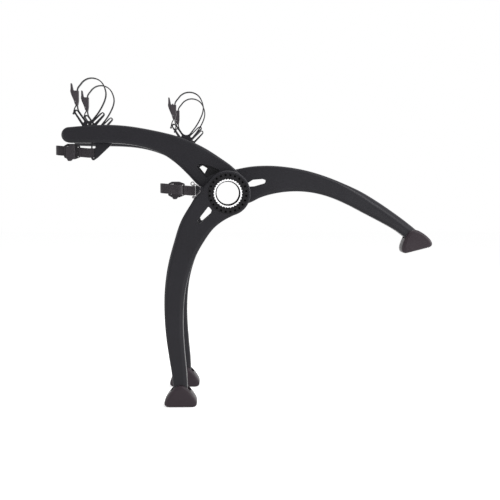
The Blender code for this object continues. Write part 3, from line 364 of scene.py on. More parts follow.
def combined(tree, operation, first, first_socket, second, second_socket):
    made = node(tree, "ShaderNodeMath", operation=operation)
    link(tree, first, first_socket, made, 0)
    link(tree, second, second_socket, made, 1)
    return made


def bare_material(name, colour, roughness, metallic=0.0, specular=0.5):
    made = bpy.data.materials.new(name)
    made.use_nodes = True
    shader = made.node_tree.nodes["Principled BSDF"]
    shader.inputs["Base Color"].default_value = (*colour, 1.0)
    shader.inputs["Roughness"].default_value = roughness
    shader.inputs["Metallic"].default_value = metallic
    shader.inputs["Specular IOR Level"].default_value = specular
    return made, made.node_tree, shader


def varied(tree, vector, scale, low, high, detail=4.0, roughness=0.55):
    """Noise brought into the range from low to high."""
    return ranged(tree, noise_at(tree, vector, scale, detail, Roughness=roughness), "Fac", low, high)


def shaded(tree, colour, factor, socket="Result"):
    """The colour multiplied by a factor that varies over the surface."""
    mixed = node(tree, "ShaderNodeVectorMath", {0: colour}, operation="SCALE")
    link(tree, factor, socket, mixed, "Scale")
    return mixed


def bumped(tree, height, socket, strength, distance, before=None):
    """A bump of this distance in metres, over another one where that is given."""
    bump = node(tree, "ShaderNodeBump", {"Strength": strength, "Distance": distance})
    link(tree, height, socket, bump, "Height")
    if before:
        link(tree, before, "Normal", bump, "Normal")
    return bump


def edge_mask(tree, radius, gain):
    """Near 1 on the edges and 0 on the flats, from how far a rounded normal leans away from the real one."""
    bevel = node(tree, "ShaderNodeBevel", {"Radius": radius}, samples=4)
    geometry = node(tree, "ShaderNodeNewGeometry")
    dot = node(tree, "ShaderNodeVectorMath", operation="DOT_PRODUCT")
    link(tree, bevel, "Normal", dot, 0)
    link(tree, geometry, "Normal", dot, 1)
    return ranged(tree, dot, "Value", low=0.0, high=gain, start=1.0, end=0.75)


def moulded(name, colour, roughness, specular, grain, worn=0.0):
    """Moulded plastic or rubber: a fine grain, slight blotches of tone and gloss, and rubbed edges.

    Grain is in cells a metre, and worn is how much the rubbed edges show.
    """
    made, tree, shader = bare_material(name, colour, roughness, specular=specular)
    place = object_place(tree)
    tone = varied(tree, place, scale=9.0, low=0.90, high=1.10)
    tinted = shaded(tree, colour, tone)
    if worn:
        mask = edge_mask(tree, radius=0.0016, gain=worn)
        broken = varied(tree, place, scale=160.0, low=0.2, high=1.0)
        product = combined(tree, "MULTIPLY", mask, "Result", broken, "Result")
        rubbed = node(tree, "ShaderNodeMix", data_type="RGBA")
        link(tree, product, "Value", rubbed, "Factor")
        link(tree, tinted, "Vector", rubbed, "A")
        rubbed.inputs["B"].default_value = (*(min(1.0, c * 3.2 + 0.02) for c in colour), 1.0)
        link(tree, rubbed, "Result", shader, "Base Color")
    else:
        link(tree, tinted, "Vector", shader, "Base Color")
    gloss = varied(tree, place, scale=34.0, low=roughness - 0.05, high=roughness + 0.06, detail=6.0)
    link(tree, gloss, "Result", shader, "Roughness")
    pebble = node(tree, "ShaderNodeTexVoronoi", {"Scale": grain, "Smoothness": 0.6}, feature="SMOOTH_F1")
    tree.links.new(place, pebble.inputs["Vector"])
    fine = noise_at(tree, place, scale=grain * 2.3, detail=3.0)
    first = bumped(tree, pebble, "Distance", strength=0.35, distance=0.00010)
    second = bumped(tree, fine, "Fac", strength=0.25, distance=0.00006, before=first)
    link(tree, second, "Normal", shader, "Normal")
    return made


def tube_metal(name):
    """Black anodised aluminium: a drawn grain along the tube, bare at its sawn ends, matt inside."""
    anodised = (0.020, 0.020, 0.022)
    made, tree, shader = bare_material(name, anodised, roughness=0.38, metallic=0.85)
    place = object_place(tree)
    stretched = node(tree, "ShaderNodeMapping", {"Scale": (1400.0, 12.0, 1400.0)})
    tree.links.new(place, stretched.inputs["Vector"])
    drawn = noise_at(tree, stretched.outputs["Vector"], scale=1.0, detail=3.0)
    parts = node(tree, "ShaderNodeSeparateXYZ")
    tree.links.new(place, parts.inputs["Vector"])
    away = node(tree, "ShaderNodeMath", operation="ABSOLUTE")
    link(tree, parts, "Y", away, 0)
    sawn = node(tree, "ShaderNodeMath", {1: TUBE_END - FIT}, operation="GREATER_THAN")
    link(tree, away, "Value", sawn, 0)
    saw = node(tree, "ShaderNodeMapping", {"Scale": (60.0, 60.0, 2600.0)})
    tree.links.new(place, saw.inputs["Vector"])
    lines = noise_at(tree, saw.outputs["Vector"], scale=1.0, detail=2.0)
    bare = shaded(tree, (0.93, 0.93, 0.94), ranged(tree, lines, "Fac", low=0.86, high=1.0))
    black = shaded(tree, anodised, varied(tree, place, scale=40.0, low=0.8, high=1.3))
    mixed = node(tree, "ShaderNodeMix", data_type="RGBA")
    link(tree, sawn, "Value", mixed, "Factor")
    link(tree, black, "Vector", mixed, "A")
    link(tree, bare, "Vector", mixed, "B")
    link(tree, mixed, "Result", shader, "Base Color")
    rough = ranged(tree, drawn, "Fac", low=0.30, high=0.46)
    across = node(tree, "ShaderNodeCombineXYZ")
    link(tree, parts, "X", across, "X")
    link(tree, parts, "Z", across, "Z")
    reach = node(tree, "ShaderNodeVectorMath", operation="LENGTH")
    link(tree, across, "Vector", reach, 0)
    inside = node(tree, "ShaderNodeMath", {1: TUBE_BORE + FIT}, operation="LESS_THAN")
    link(tree, reach, "Value", inside, 0)
    link(tree, combined(tree, "MAXIMUM", rough, "Result", inside, "Value"), "Value", shader, "Roughness")
    link(tree, bumped(tree, drawn, "Fac", strength=0.2, distance=0.00006), "Normal", shader, "Normal")
    return made


def brushed_steel(name, colour, roughness):
    """Plated metal with slight blotches of colour and gloss, and a fine grain."""
    made, tree, shader = bare_material(name, colour, roughness, metallic=1.0)
    place = object_place(tree)
    tone = varied(tree, place, scale=120.0, low=0.8, high=1.15)
    link(tree, shaded(tree, colour, tone), "Vector", shader, "Base Color")
    gloss = varied(tree, place, scale=260.0, low=roughness - 0.06, high=roughness + 0.1)
    link(tree, gloss, "Result", shader, "Roughness")
    fine = noise_at(tree, place, scale=1800.0, detail=2.0)
    link(tree, bumped(tree, fine, "Fac", strength=0.15, distance=0.00004), "Normal", shader, "Normal")
    return made


def woven(name, colour):
    """Webbing: crosswise ribs of the weft over fine warp yarns, read from each strip's own run and width."""
    made, tree, shader = bare_material(name, colour, roughness=0.86, specular=0.25)
    shader.inputs["Sheen Weight"].default_value = 0.25
    shader.inputs["Sheen Roughness"].default_value = 0.5
    strip = node(tree, "ShaderNodeAttribute", attribute_name="strip")
    parts = node(tree, "ShaderNodeSeparateXYZ")
    link(tree, strip, "Vector", parts, "Vector")
    heights = []
    for axis, period in (("X", WEFT_PERIOD), ("Y", WARP_PERIOD)):
        turned = node(tree, "ShaderNodeMath", {1: math.tau / period}, operation="MULTIPLY")
        link(tree, parts, axis, turned, 0)
        wave = node(tree, "ShaderNodeMath", operation="SINE")
        link(tree, turned, "Value", wave, 0)
        heights.append(wave)
    weave = combined(tree, "MULTIPLY", heights[0], "Value", heights[1], "Value")
    place = object_place(tree)
    fuzz = noise_at(tree, place, scale=1500.0, detail=4.0)
    # Painted sheen and shade: the colour is lighter on the weave's raised ribs and darker in its hollows,
    # following the same height as the bump
    tone = ranged(tree, weave, "Value", low=0.70, high=1.25, start=-1.0, end=1.0)
    blotch = varied(tree, place, scale=60.0, low=0.88, high=1.12)
    both = combined(tree, "MULTIPLY", tone, "Result", blotch, "Result")
    link(tree, shaded(tree, colour, both, "Value"), "Vector", shader, "Base Color")
    first = bumped(tree, weave, "Value", strength=0.6, distance=0.00022)
    second = bumped(tree, fuzz, "Fac", strength=0.3, distance=0.00008, before=first)
    link(tree, second, "Normal", shader, "Normal")
    return made


PLASTIC = moulded(
    "satin_black_plastic", (0.0118, 0.0112, 0.0145), roughness=0.39, specular=0.19, grain=950.0, worn=0.5
)
BUSH = moulded("bush_plastic", (0.0085, 0.0080, 0.0095), roughness=0.50, specular=0.16, grain=950.0)
RUBBER = moulded(
    "foot_rubber", (0.0145, 0.0075, 0.0120), roughness=0.46, specular=0.30, grain=700.0, worn=0.4
)
rubber_shader = RUBBER.node_tree.nodes["Principled BSDF"]
rubber_shader.inputs["Sheen Weight"].default_value = 0.55
rubber_shader.inputs["Sheen Roughness"].default_value = 0.16
BUCKLE = moulded(
    "buckle_plastic", (0.034, 0.028, 0.033), roughness=0.42, specular=0.34, grain=1300.0, worn=0.5
)
CAM = moulded("cam_plastic", (0.0230, 0.0195, 0.0235), roughness=0.42, specular=0.26, grain=1300.0, worn=0.6)
LADDER = moulded("ladder_strap_rubber", (0.018, 0.018, 0.020), roughness=0.40, specular=0.30, grain=1500.0)
TUBE = tube_metal("anodised_tube")
STEEL = brushed_steel("plated_steel", (0.30, 0.30, 0.31), roughness=0.34)
WIRE = brushed_steel("dark_wire", (0.11, 0.105, 0.11), roughness=0.38)
WEBBING = woven("black_webbing", (0.026, 0.022, 0.026))
THREAD = moulded("sewing_thread", (0.110, 0.100, 0.108), roughness=0.7, specular=0.25, grain=3000.0)

# Finishes of the nodes, by the starts of their names
FINISHES = (
    ("leg_bush_", BUSH), ("arm_bush_", BUSH), ("upper_bush", BUSH),
    ("arm_ring_", STEEL), ("upper_ring_", STEEL), ("cam_pin_", STEEL),
    ("main_tube", TUBE), ("strap_ring", WIRE),
    ("cam_", CAM), ("ratchet_", BUCKLE), ("buckle_tab_", LADDER), ("ladder_strap_", LADDER),
    ("webbing_", WEBBING),
)


def finish_of(name):
    if name.endswith("_pin"):
        return STEEL
    for start, finish in FINISHES:
        if name.startswith(start):
            return finish
    if "foot" in name:
        return RUBBER
    return PLASTIC


for name, obj in NODES.items():
    for held in obj.material_slots:
        held.material = finish_of(name)


# Pieces

def add(name, mesh, finish, body, smooth_deg=SMOOTH_DEG):
    """A smooth shaded piece that rides on a body."""
    mesh.materials.append(finish)
    mesh.shade_smooth()
    mesh.set_sharp_from_angle(angle=math.radians(smooth_deg))
    obj = bpy.data.objects.new(name, mesh)
    bpy.context.scene.collection.objects.link(obj)
    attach(obj, body)
    return obj


def mesh_from(name, points, faces, strip=None):
    """A mesh. A strip gives each point's run along the webbing, and its place across and in its thickness."""
    mesh = bpy.data.meshes.new(name)
    mesh.from_pydata(points, [], faces)
    if strip:
        attribute = mesh.attributes.new("strip", "FLOAT_VECTOR", "POINT")
        attribute.data.foreach_set("vector", [c for s in strip for c in s])
    mesh.validate()
    return mesh


def swept(name, frames, strip=None, closed=False):
    """Rings of points joined into a skin, with flat ends unless it is closed."""
    points = [p for ring in frames for p in ring]
    count, section_count = len(frames), len(frames[0])
    faces = []
    for i in range(count if closed else count - 1):
        here, there = i * section_count, (i + 1) % count * section_count
        for k in range(section_count):
            after = (k + 1) % section_count
            faces.append((here + k, here + after, there + after, there + k))
    if not closed:
        faces.append(tuple(reversed(range(section_count))))
        faces.append(tuple((count - 1) * section_count + k for k in range(section_count)))
    return mesh_from(name, points, faces, strip)


def web_section():
    """Places across a strip of webbing and in its thickness. Its edges are rounded and a little thinner."""
    half, thick = WEB_WIDTH / 2, WEB_THICKNESS / 2
    across = (
        -half, -half + WEB_ROUNDED, -half + WEB_THINNED, -half / 2, 0.0,
        half / 2, half - WEB_THINNED, half - WEB_ROUNDED, half,
    )
    shares = (*WEB_EDGE_SHARES, 1.0, 1.0, 1.0, 1.0, 1.0, *WEB_EDGE_SHARES[::-1])
    upper = [(place, thick * share) for place, share in zip(across, shares)]
    return upper + [(place, -high) for place, high in reversed(upper)]


def rise(distance):
    """How much higher a stored strap is at this distance from its bar."""
    return ROLL_RISE * max(0.0, distance - ROLL_LEVEL)


def web_strip(name, path, hinge, body, closed=False, shift=None, padding=None):
    """Webbing that stands on edge along a path in X and Y, climbing with its distance from its bar.

    Shift gives a height for a run along the path, and padding what a fold adds to the outer face at an x.
    """
    section = web_section()
    if closed:
        path = path[:-1]
    count = len(path)
    frames, strip, run = [], [], 0.0
    for i, point in enumerate(path):
        before = path[i - 1] if closed or i else path[i]
        after = path[(i + 1) % count] if closed or i < count - 1 else path[i]
        along = (Vector(after) - Vector(before)).normalized()
        side = Vector((-along.y, along.x))
        run += (Vector(point) - Vector(path[i - 1])).length if i else 0.0
        up = rise(-point[0]) + (shift(run) if shift else 0.0)
        ring = []
        for across, thick in section:
            padded = thick - padding(point[0]) if padding and thick < 0 else thick
            flat = Vector(point) + side * padded
            ring.append((hinge[0] + flat.x, hinge[1] + flat.y, hinge[2] + across + up))
            strip.append((run, across, thick))
        frames.append(ring)
    return add(name, swept(name, frames, strip, closed), WEBBING, body, smooth_deg=40)


def roll_path(side, reach):
    """Flat spiral from the core out, then under the buckle's plate, up through it and under the cam."""
    buckle_start, roll_start = reach
    outer = ROLL_CORE + ROLL_PITCH * ROLL_TURNS
    run = ROLL_LENGTH - 2 * outer - WEB_THICKNESS
    middle_x = -(roll_start + ROLL_LENGTH / 2)
    on_plate = CAM_PLATE / 2 + FIT + WEB_THICKNESS / 2
    middle_y = -(outer + on_plate)
    points = []
    for half_turn in range(2 * ROLL_TURNS):
        end = 1 if half_turn % 2 == 0 else -1
        for i in range(HALF_TURN_STEPS + 1):
            turned = half_turn / 2 + i / HALF_TURN_STEPS / 2
            radius = ROLL_CORE + ROLL_PITCH * turned
            angle = math.pi * (0.5 - 2 * turned)
            across = middle_x + end * run / 2 + radius * math.cos(angle)
            points.append((across, middle_y + radius * math.sin(angle)))
    slot_middle = -(buckle_start + CAM_LENGTH - FRONT_SLOT_START - FRONT_SLOT_LENGTH / 2)
    points += [(slot_middle - SLOT_ENTRY, -on_plate), (slot_middle + SLOT_EXIT, on_plate)]
    points.append((-(buckle_start + CAM_PIVOT_SHARE * CAM_LENGTH) + TAIL_PAST_CAM, on_plate))
    return spaced([(x, side * y) for x, y in points], ROLL_STEP)


def loop_path(bar_gap, reach):
    """Round the bar, flat between, and round the buckle's end."""
    near = bar_gap + WEB_THICKNESS / 2
    pinch = (WEB_THICKNESS + WEB_LAYER_GAP) / 2
    far = math.hypot(CAM_BAR, CAM_PLATE) / 2 + FIT + WEB_THICKNESS / 2
    round_bar = arc((0, 0), near, *LOOP_BAR_ARC, FOLD_STEPS)
    start, end = -near - LOOP_PINCH, -reach + far + LOOP_PINCH
    path = [
        *round_bar, (start, pinch), (end, pinch),
        *arc((-reach, 0), far, *LOOP_BUCKLE_ARC, FOLD_STEPS), (end, -pinch), (start, -pinch), round_bar[0],
    ]
    return spaced(path, LOOP_STEP)


def hinge_of(tag, place):
    """A stored strap's bar: its x and y, with z from the CAD loop, which is level there."""
    low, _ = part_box(f"webbing_loop_{tag}")
    return (*place, low.z + WEB_WIDTH / 2)


def stitches(name, hinge, body, start, end, side_y):
    """Rows of short stitches on a sewn loop's two faces, as one mesh of small pillows."""
    shape = bmesh.new()
    size = Matrix.Diagonal(STITCH_SIZE)
    count = round((end - start) / STITCH_SPACING)
    for face in (-1, 1):
        for row in STITCH_ROWS:
            for i in range(count):
                x = -(start + (i + 0.5) * STITCH_SPACING)
                centre = Vector((hinge[0] + x, hinge[1] + face * side_y, hinge[2] + row + rise(-x)))
                made = bmesh.ops.create_icosphere(shape, subdivisions=1, radius=1.0)
                for vertex in made["verts"]:
                    vertex.co = centre + size @ vertex.co
    mesh = bpy.data.meshes.new(name)
    shape.to_mesh(mesh)
    shape.free()
    add(name, mesh, THREAD, body, smooth_deg=80)


for tag, place, side, gap, reach in (
    ("a", STRAP_A_BAR, -1, BAR_A_GAP, STRAP_A_REACH),
    ("b", STRAP_B_BAR, 1, BAR_B_GAP, STRAP_B_REACH),
):
    bodies = frame["record"]["behaviour"]["bodies"]
    rider = next(body for body, members in bodies.items() if f"webbing_roll_{tag}" in members)
    hinge = hinge_of(tag, place)
    roll = web_strip(
        f"rolled_webbing_{tag}", roll_path(side, reach), hinge, rider,
        shift=lambda run: ROLL_WAVE * math.sin(run * ROLL_WAVE_RATE),
    )
    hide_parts(f"webbing_roll_{tag}")
    sewn = web_strip(
        f"sewn_webbing_loop_{tag}", loop_path(gap, reach[0] + CAM_BAR / 2), hinge, rider, closed=True,
        padding=lambda x, far_end=reach[0]: min(FOLD_PADDING, max(0.0, x, -x - far_end)),
    )
    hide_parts(f"webbing_loop_{tag}")
    side_y = (WEB_THICKNESS + WEB_LAYER_GAP) / 2 + WEB_THICKNESS / 2 + STITCH_LIFT
    stitches(f"loop_stitching_{tag}", hinge, rider, gap + STITCH_START, reach[0] - STITCH_END, side_y)


# Ladder straps

def strap_path():
    """Out of the buckle's foot, along the cradle, over and into the buckle's head."""
    lying = offset(SADDLE, STRAP_THICKNESS / 2 + FIT)[:-1]
    low = [(STRAP_IN_BUCKLE, BUCKLE_FOOT + up) for up in STRAP_LOW_END]
    high = [(STRAP_IN_BUCKLE, BUCKLE_HEAD + up) for up in STRAP_HIGH_END]
    return through([*low, *lying, *STRAP_LOOP, *high], STRAP_POINT_SPACING)


def ladder_section(tooth):
    """Across the strap: two rails, and between them a floor or a tooth. The teeth are on the outside."""
    half, thick = STRAP_WIDTH / 2, STRAP_THICKNESS / 2
    rail, edge, low = half - LADDER_RAIL, half - LADDER_CHAMFER, thick - LADDER_CHAMFER
    floor = thick - LADDER_FLOOR + TOOTH_HEIGHT * tooth
    outer = [
        (-half, low), (-edge, thick), (-rail - LADDER_DRAFT, thick), (-rail, floor),
        (rail, floor), (rail + LADDER_DRAFT, thick), (edge, thick), (half, low),
    ]
    return outer + [(half, -low), (edge, -thick), (-edge, -thick), (-half, -low)]


def ladder_strap(tag):
    """A strap with teeth across it, laid where the model's strap is."""
    path = strap_path()
    outline = offset(path, STRAP_THICKNESS / 2) + offset(path, -STRAP_THICKNESS / 2)
    low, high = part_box(f"ladder_strap_{tag}")
    left, bottom = min(p[0] for p in outline), min(p[1] for p in outline)
    shift = Vector((low.x - left, (low.y + high.y) / 2, low.z - bottom))
    fine = spaced(through(path, LADDER_KNOT_STEP), LADDER_STEP)
    frames = []
    for i, (point, normal) in enumerate(zip(fine, sides(fine))):
        run = i * LADDER_STEP
        toothed = TOOTHED_RUN[0] < run < TOOTHED_RUN[1]
        tooth = TOOTH_PROFILE[i % len(TOOTH_PROFILE)] if toothed else 1.0
        ring = []
        for across, thick in ladder_section(tooth):
            flat = Vector(point) - normal * thick
            ring.append((shift.x + flat.x, shift.y + across, shift.z + flat.y))
        frames.append(ring)
    name = f"toothed_strap_{tag}"
    body = NODES[f"ladder_strap_{tag}"]["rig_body"]
    made = add(name, swept(name, frames), LADDER, body, smooth_deg=30)
    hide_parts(f"ladder_strap_{tag}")


for tag in ("near_1", "near_2", "far_1", "far_2"):
    ladder_strap(tag)


# Arms, legs and feet

def closed_sides(outline):
    """Unit vectors to the left of a closed outline at each of its points."""
    found = []
    for i in range(len(outline)):
        along = Vector(outline[(i + 1) % len(outline)]) - Vector(outline[i - 1])
        found.append(Vector((-along.y, along.x)).normalized())
    return found


def rounded(corners, radius, steps=8):
    """A closed outline with each corner turned into an arc, held back where a side is short."""
    found = []
    count = len(corners)
    most = 0.45  # of a side's length
    for i, corner in enumerate(corners):
        here = Vector(corner)
        back = Vector(corners[i - 1]) - here
        ahead = Vector(corners[(i + 1) % count]) - here
        half = back.angle(ahead) / 2
        reach = min(radius / math.tan(half), most * back.length, most * ahead.length)
        fitted = reach * math.tan(half)
        middle = here + (back.normalized() + ahead.normalized()).normalized() * fitted / math.sin(half)
        first = here + back.normalized() * reach - middle
        last = here + ahead.normalized() * reach - middle
        turn = math.atan2(first.x * last.y - first.y * last.x, first.dot(last))
        for k in range(steps + 1):
            found.append(tuple(middle + Matrix.Rotation(turn * k / steps, 2) @ first))
    return found


def outside_hub(corners):
    """Corners given as distances outside the hub's rim and angles in degrees."""
    turned = [(HUB_RADIUS + far, math.radians(deg)) for far, deg in corners]
    return [(radius * math.cos(angle), radius * math.sin(angle)) for radius, angle in turned]


def arc_outline(hub_arc, edge_out, end_centre, end_radius, end_arc, edge_back):
    """The model's outline of an arm or leg, with far more points."""
    hub = arc((0, 0), HUB_RADIUS, *hub_arc, round((hub_arc[1] - hub_arc[0]) / HUB_STEP))
    end = arc(end_centre, end_radius, *end_arc, END_STEPS)
    out = through([hub[-1], *edge_out, end[0]], ARC_STEP)
    back = through([end[-1], *reversed(edge_back), hub[0]], ARC_STEP)
    return hub[:-1] + out[:-1] + end[:-1] + back[:-1]


def vertices_of(shape, loop, y):
    """New vertices for a loop of (x, z) points at this y."""
    return [shape.verts.new((x, y, z)) for x, z in loop]


def wall(shape, first, second):
    """Faces between two closed loops of vertices."""
    count = len(first)
    for i in range(count):
        j = (i + 1) % count
        shape.faces.new((first[i], first[j], second[j], second[i]))


def fill(shape, loops):
    """A flat face inside an outer loop and outside the others."""
    edges = []
    for loop in loops:
        for a, b in zip(loop, loop[1:] + loop[:1]):
            edges.append(shape.edges.get((a, b)) or shape.edges.new((a, b)))
    bmesh.ops.triangle_fill(shape, edges=edges, use_beauty=True)


def rounded_skin(shape, outline, insets, half, steps=7):
    """Side walls of a slab whose two rims are rounded. Returns the loops that its faces fill.

    Each point of the outline has its inset at the face, and how deep its rounding goes along Y.
    """
    loops = []
    turns = [math.pi / 2 * k / steps for k in range(steps + 1)]
    for face, order in ((-1, turns), (1, turns[::-1])):
        for turn in order:
            points = []
            for point, (inset, depth) in zip(outline, insets):
                moved = Vector(point) + inset * (1 - math.sin(turn))
                y = face * (half - depth * (1 - math.cos(turn)))
                points.append(shape.verts.new((moved.x, y, moved.y)))
            loops.append(points)
    for first, second in zip(loops, loops[1:]):
        wall(shape, first, second)
    return loops[0], loops[-1]


def slab_mesh(name, outline, insets, half, holes=(), pocket=None, opening=None):
    """A rounded slab, with holes right through it or a pocket in each face that meets a smaller opening."""
    shape = bmesh.new()
    near, far = rounded_skin(shape, outline, insets, half)
    near_loops, far_loops = [near], [far]
    for hole in holes:
        ends = vertices_of(shape, hole, -half), vertices_of(shape, hole, half)
        wall(shape, *ends)
        near_loops.append(ends[0])
        far_loops.append(ends[1])
    if pocket:
        middle = []
        for face, loops in ((-1, near_loops), (1, far_loops)):
            rim = vertices_of(shape, pocket, face * half)
            floor = vertices_of(shape, pocket, face * ARM_WEB / 2)
            through_edge = vertices_of(shape, opening, face * ARM_WEB / 2)
            wall(shape, rim, floor)
            fill(shape, [floor, through_edge])
            loops.append(rim)
            middle.append(through_edge)
        wall(shape, *middle)
    fill(shape, near_loops)
    fill(shape, far_loops)
    bmesh.ops.recalc_face_normals(shape, faces=shape.faces)
    mesh = bpy.data.meshes.new(name)
    shape.to_mesh(mesh)
    shape.free()
    return mesh


def flatten_faces(mesh):
    """Faces that lie square to an axis are shaded flat, and the others stay smooth."""
    for polygon in mesh.polygons:
        if max(abs(c) for c in polygon.normal) > FLAT_NORMAL:
            polygon.use_smooth = False


def arc_piece(name, node_name, outline, plane, holes=(), pocket=None, opening=None, crown=0.0):
    """An arm or leg. A crown is the much rounder back that its upper side grows away from the hub."""
    insets = []
    for point, side in zip(outline, closed_sides(outline)):
        away = Vector(point).length - HUB_RADIUS
        from_hub = max(0.0, min(1.0, away / HUB_BLEND))
        crowned = crown * max(0.0, -side.y) * max(0.0, min(1.0, (away - CROWN_START) / CROWN_BLEND))
        inset = HUB_EDGE + (FACE_EDGE - HUB_EDGE) * from_hub
        depth = HUB_EDGE + (SIDE_EDGE - HUB_EDGE) * from_hub
        insets.append((side * (inset + crowned), depth + crowned * CROWN_DEPTH))
    bore = arc((0, 0), BUSH_BORE_RADIUS, 0, 360, BORE_STEPS)[:-1]
    mesh = slab_mesh(name, outline, insets, ARC_WIDTH / 2, [bore, *holes], pocket, opening)
    mesh.transform(Matrix.Translation((0, plane, 0)))
    piece = add(name, mesh, PLASTIC, NODES[node_name]["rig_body"])
    flatten_faces(mesh)
    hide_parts(node_name)


lower_end_arc = (180 + LOWER_END_LEAN, 360 + LOWER_END_LEAN)
upper_end_arc = (180 + UPPER_END_LEAN, 360 + UPPER_END_LEAN)
lower_outline = arc_outline(
    LOWER_LEG_HUB_ARC, LOWER_LEG_BACK, LOWER_PIVOT, KNUCKLE_RADIUS, lower_end_arc, LOWER_LEG_FRONT
)
upper_outline = arc_outline(
    UPPER_LEG_HUB_ARC, UPPER_LEG_UNDER, UPPER_PIVOT, KNUCKLE_RADIUS, upper_end_arc, UPPER_LEG_TOP
)
arm_outline = arc_outline(ARM_HUB_ARC, ARM_TOP, ARM_TIP, ARM_TIP_RADIUS, ARM_TIP_ARC, ARM_UNDER)
lower_window = rounded(outside_hub(LOWER_LEG_WINDOW), WINDOW_ROUND)
upper_window = rounded(outside_hub(UPPER_LEG_WINDOW), WINDOW_ROUND)
arm_pocket = rounded(outside_hub(ARM_POCKET), WINDOW_ROUND)
arm_opening = rounded(outside_hub(ARM_OPENING), OPENING_ROUND)
for side_name, sign in (("near", -1), ("far", 1)):
    arc_piece(
        f"moulded_lower_leg_{side_name}", f"lower_leg_{side_name}", lower_outline, sign * LEG_PLANE,
        [lower_window],
    )
    arc_piece(
        f"moulded_bike_arm_{side_name}", f"bike_arm_{side_name}", arm_outline, sign * ARM_PLANE,
        pocket=arm_pocket, opening=arm_opening,
    )
arc_piece("moulded_upper_leg", "upper_leg", upper_outline, 0.0, [upper_window], crown=UPPER_CROWN)


def leg_slot():
    """The shape that its leg leans in, which opens upwards from round the leg's end."""
    lean = math.radians(FOOT_SWING)
    floor = arc((0, 0), KNUCKLE_RADIUS + FOOT_SLOT_FIT, 180 + FOOT_SWING, 360 - FOOT_SWING, SLOT_STEPS)
    climb = Vector((math.sin(lean), math.cos(lean))) * FOOT_LENGTH
    left, right = Vector(floor[0]) + Vector((-climb.x, climb.y)), Vector(floor[-1]) + climb
    shape = bmesh.new()
    half = ARC_WIDTH / 2 + FOOT_SLOT_FIT
    ends = [vertices_of(shape, [*floor, tuple(right), tuple(left)], y) for y in (-half, half)]
    wall(shape, *ends)
    shape.faces.new(ends[0])
    shape.faces.new(ends[1])
    bmesh.ops.recalc_face_normals(shape, faces=shape.faces)
    mesh = bpy.data.meshes.new("slot")
    shape.to_mesh(mesh)
    shape.free()
    slot = bpy.data.objects.new("slot", mesh)
    bpy.context.scene.collection.objects.link(slot)
    return slot


def foot_piece(node_name, pivot, plane, tilt):
    """Rubber foot with full rounding, cut by the slot that its leg leans in."""
    half, rise_of = FOOT_LENGTH / 2, FOOT_SOLE_DEPTH + FOOT_CROWN
    right = [(half * out, rise_of * up - FOOT_SOLE_DEPTH) for out, up in FOOT_SIDE]
    outline = through(right + [(-x, z) for x, z in reversed(right)], FOOT_STEP)
    middle = Vector(FOOT_PILLOW_MIDDLE)
    insets = [((middle - Vector(point)) * FOOT_PILLOW, FOOT_CHEEK_ROUND) for point in outline]
    mesh = slab_mesh(node_name, outline, insets, ARC_WIDTH / 2 + FOOT_SLOT_FIT + FOOT_CHEEK)
    foot = bpy.data.objects.new(node_name, mesh)
    bpy.context.scene.collection.objects.link(foot)
    slot = leg_slot()
    modifier = foot.modifiers.new("slot", "BOOLEAN")
    modifier.operation = "DIFFERENCE"
    modifier.solver = "EXACT"
    modifier.object = slot
    bpy.context.view_layer.update()
    cut = bpy.data.meshes.new_from_object(foot.evaluated_get(bpy.context.evaluated_depsgraph_get()))
    bpy.data.objects.remove(foot)
    bpy.data.objects.remove(slot)
    cut.materials.clear()
    cut.transform(Matrix.Translation((pivot[0], plane, pivot[1])) @ Matrix.Rotation(tilt, 4, "Y"))
    piece = add(f"moulded_{node_name}", cut, RUBBER, NODES[node_name]["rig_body"])
    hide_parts(node_name)


foot_piece("lower_foot_near", LOWER_PIVOT, -LEG_PLANE, 0.0)
foot_piece("lower_foot_far", LOWER_PIVOT, LEG_PLANE, 0.0)
foot_piece("upper_foot", UPPER_PIVOT, 0.0, UPPER_FOOT_TILT)


# Smooth copies of the small rigid pieces

def smooth_copy(node_name, edge=0.0):
    """The model's own faces, welded and shaded smooth, with a fine rounding where edge is given."""
    mesh = NODES[node_name].data.copy()
    if "custom_normal" in mesh.attributes:
        mesh.attributes.remove(mesh.attributes["custom_normal"])
    shape = bmesh.new()
    shape.from_mesh(mesh)
    bmesh.ops.remove_doubles(shape, verts=shape.verts, dist=WELD)
    bmesh.ops.dissolve_limit(shape, angle_limit=math.radians(FLAT_DEG), verts=shape.verts, edges=shape.edges)
    bmesh.ops.dissolve_degenerate(shape, edges=shape.edges, dist=WELD)
    if edge:
        least = math.radians(EDGE_DEG)
        sharp = [e for e in shape.edges if len(e.link_faces) == 2 and e.calc_face_angle() > least]
        bmesh.ops.bevel(
            shape, geom=sharp, offset=edge, offset_type="OFFSET", segments=2, profile=0.5, affect="EDGES",
            clamp_overlap=True,
        )
    shape.to_mesh(mesh)
    shape.free()
    finish = mesh.materials[0]
    mesh.materials.clear()
    piece = add(f"smooth_{node_name}", mesh, finish, NODES[node_name]["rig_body"])
    flatten_faces(mesh)
    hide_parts(node_name)


for name in sorted(NODES):
    pin = name.endswith("_pin")
    if not name.startswith(REBUILT) and (pin or "_foot" not in name):
        edges = [size for start, size in FINE_EDGES if name.startswith(start) and not pin]
        smooth_copy(name, edges[0] if edges else 0.0)


# Floor, world, lamps and camera

def seen_or_mirrored(tree):
    """1 for the rays that show the background: the camera's, and those off gloss or through glass."""
    rays = node(tree, "ShaderNodeLightPath")
    seen = combined(tree, "MAXIMUM", rays, "Is Camera Ray", rays, "Is Glossy Ray")
    return combined(tree, "MAXIMUM", seen, "Value", rays, "Is Transmission Ray")


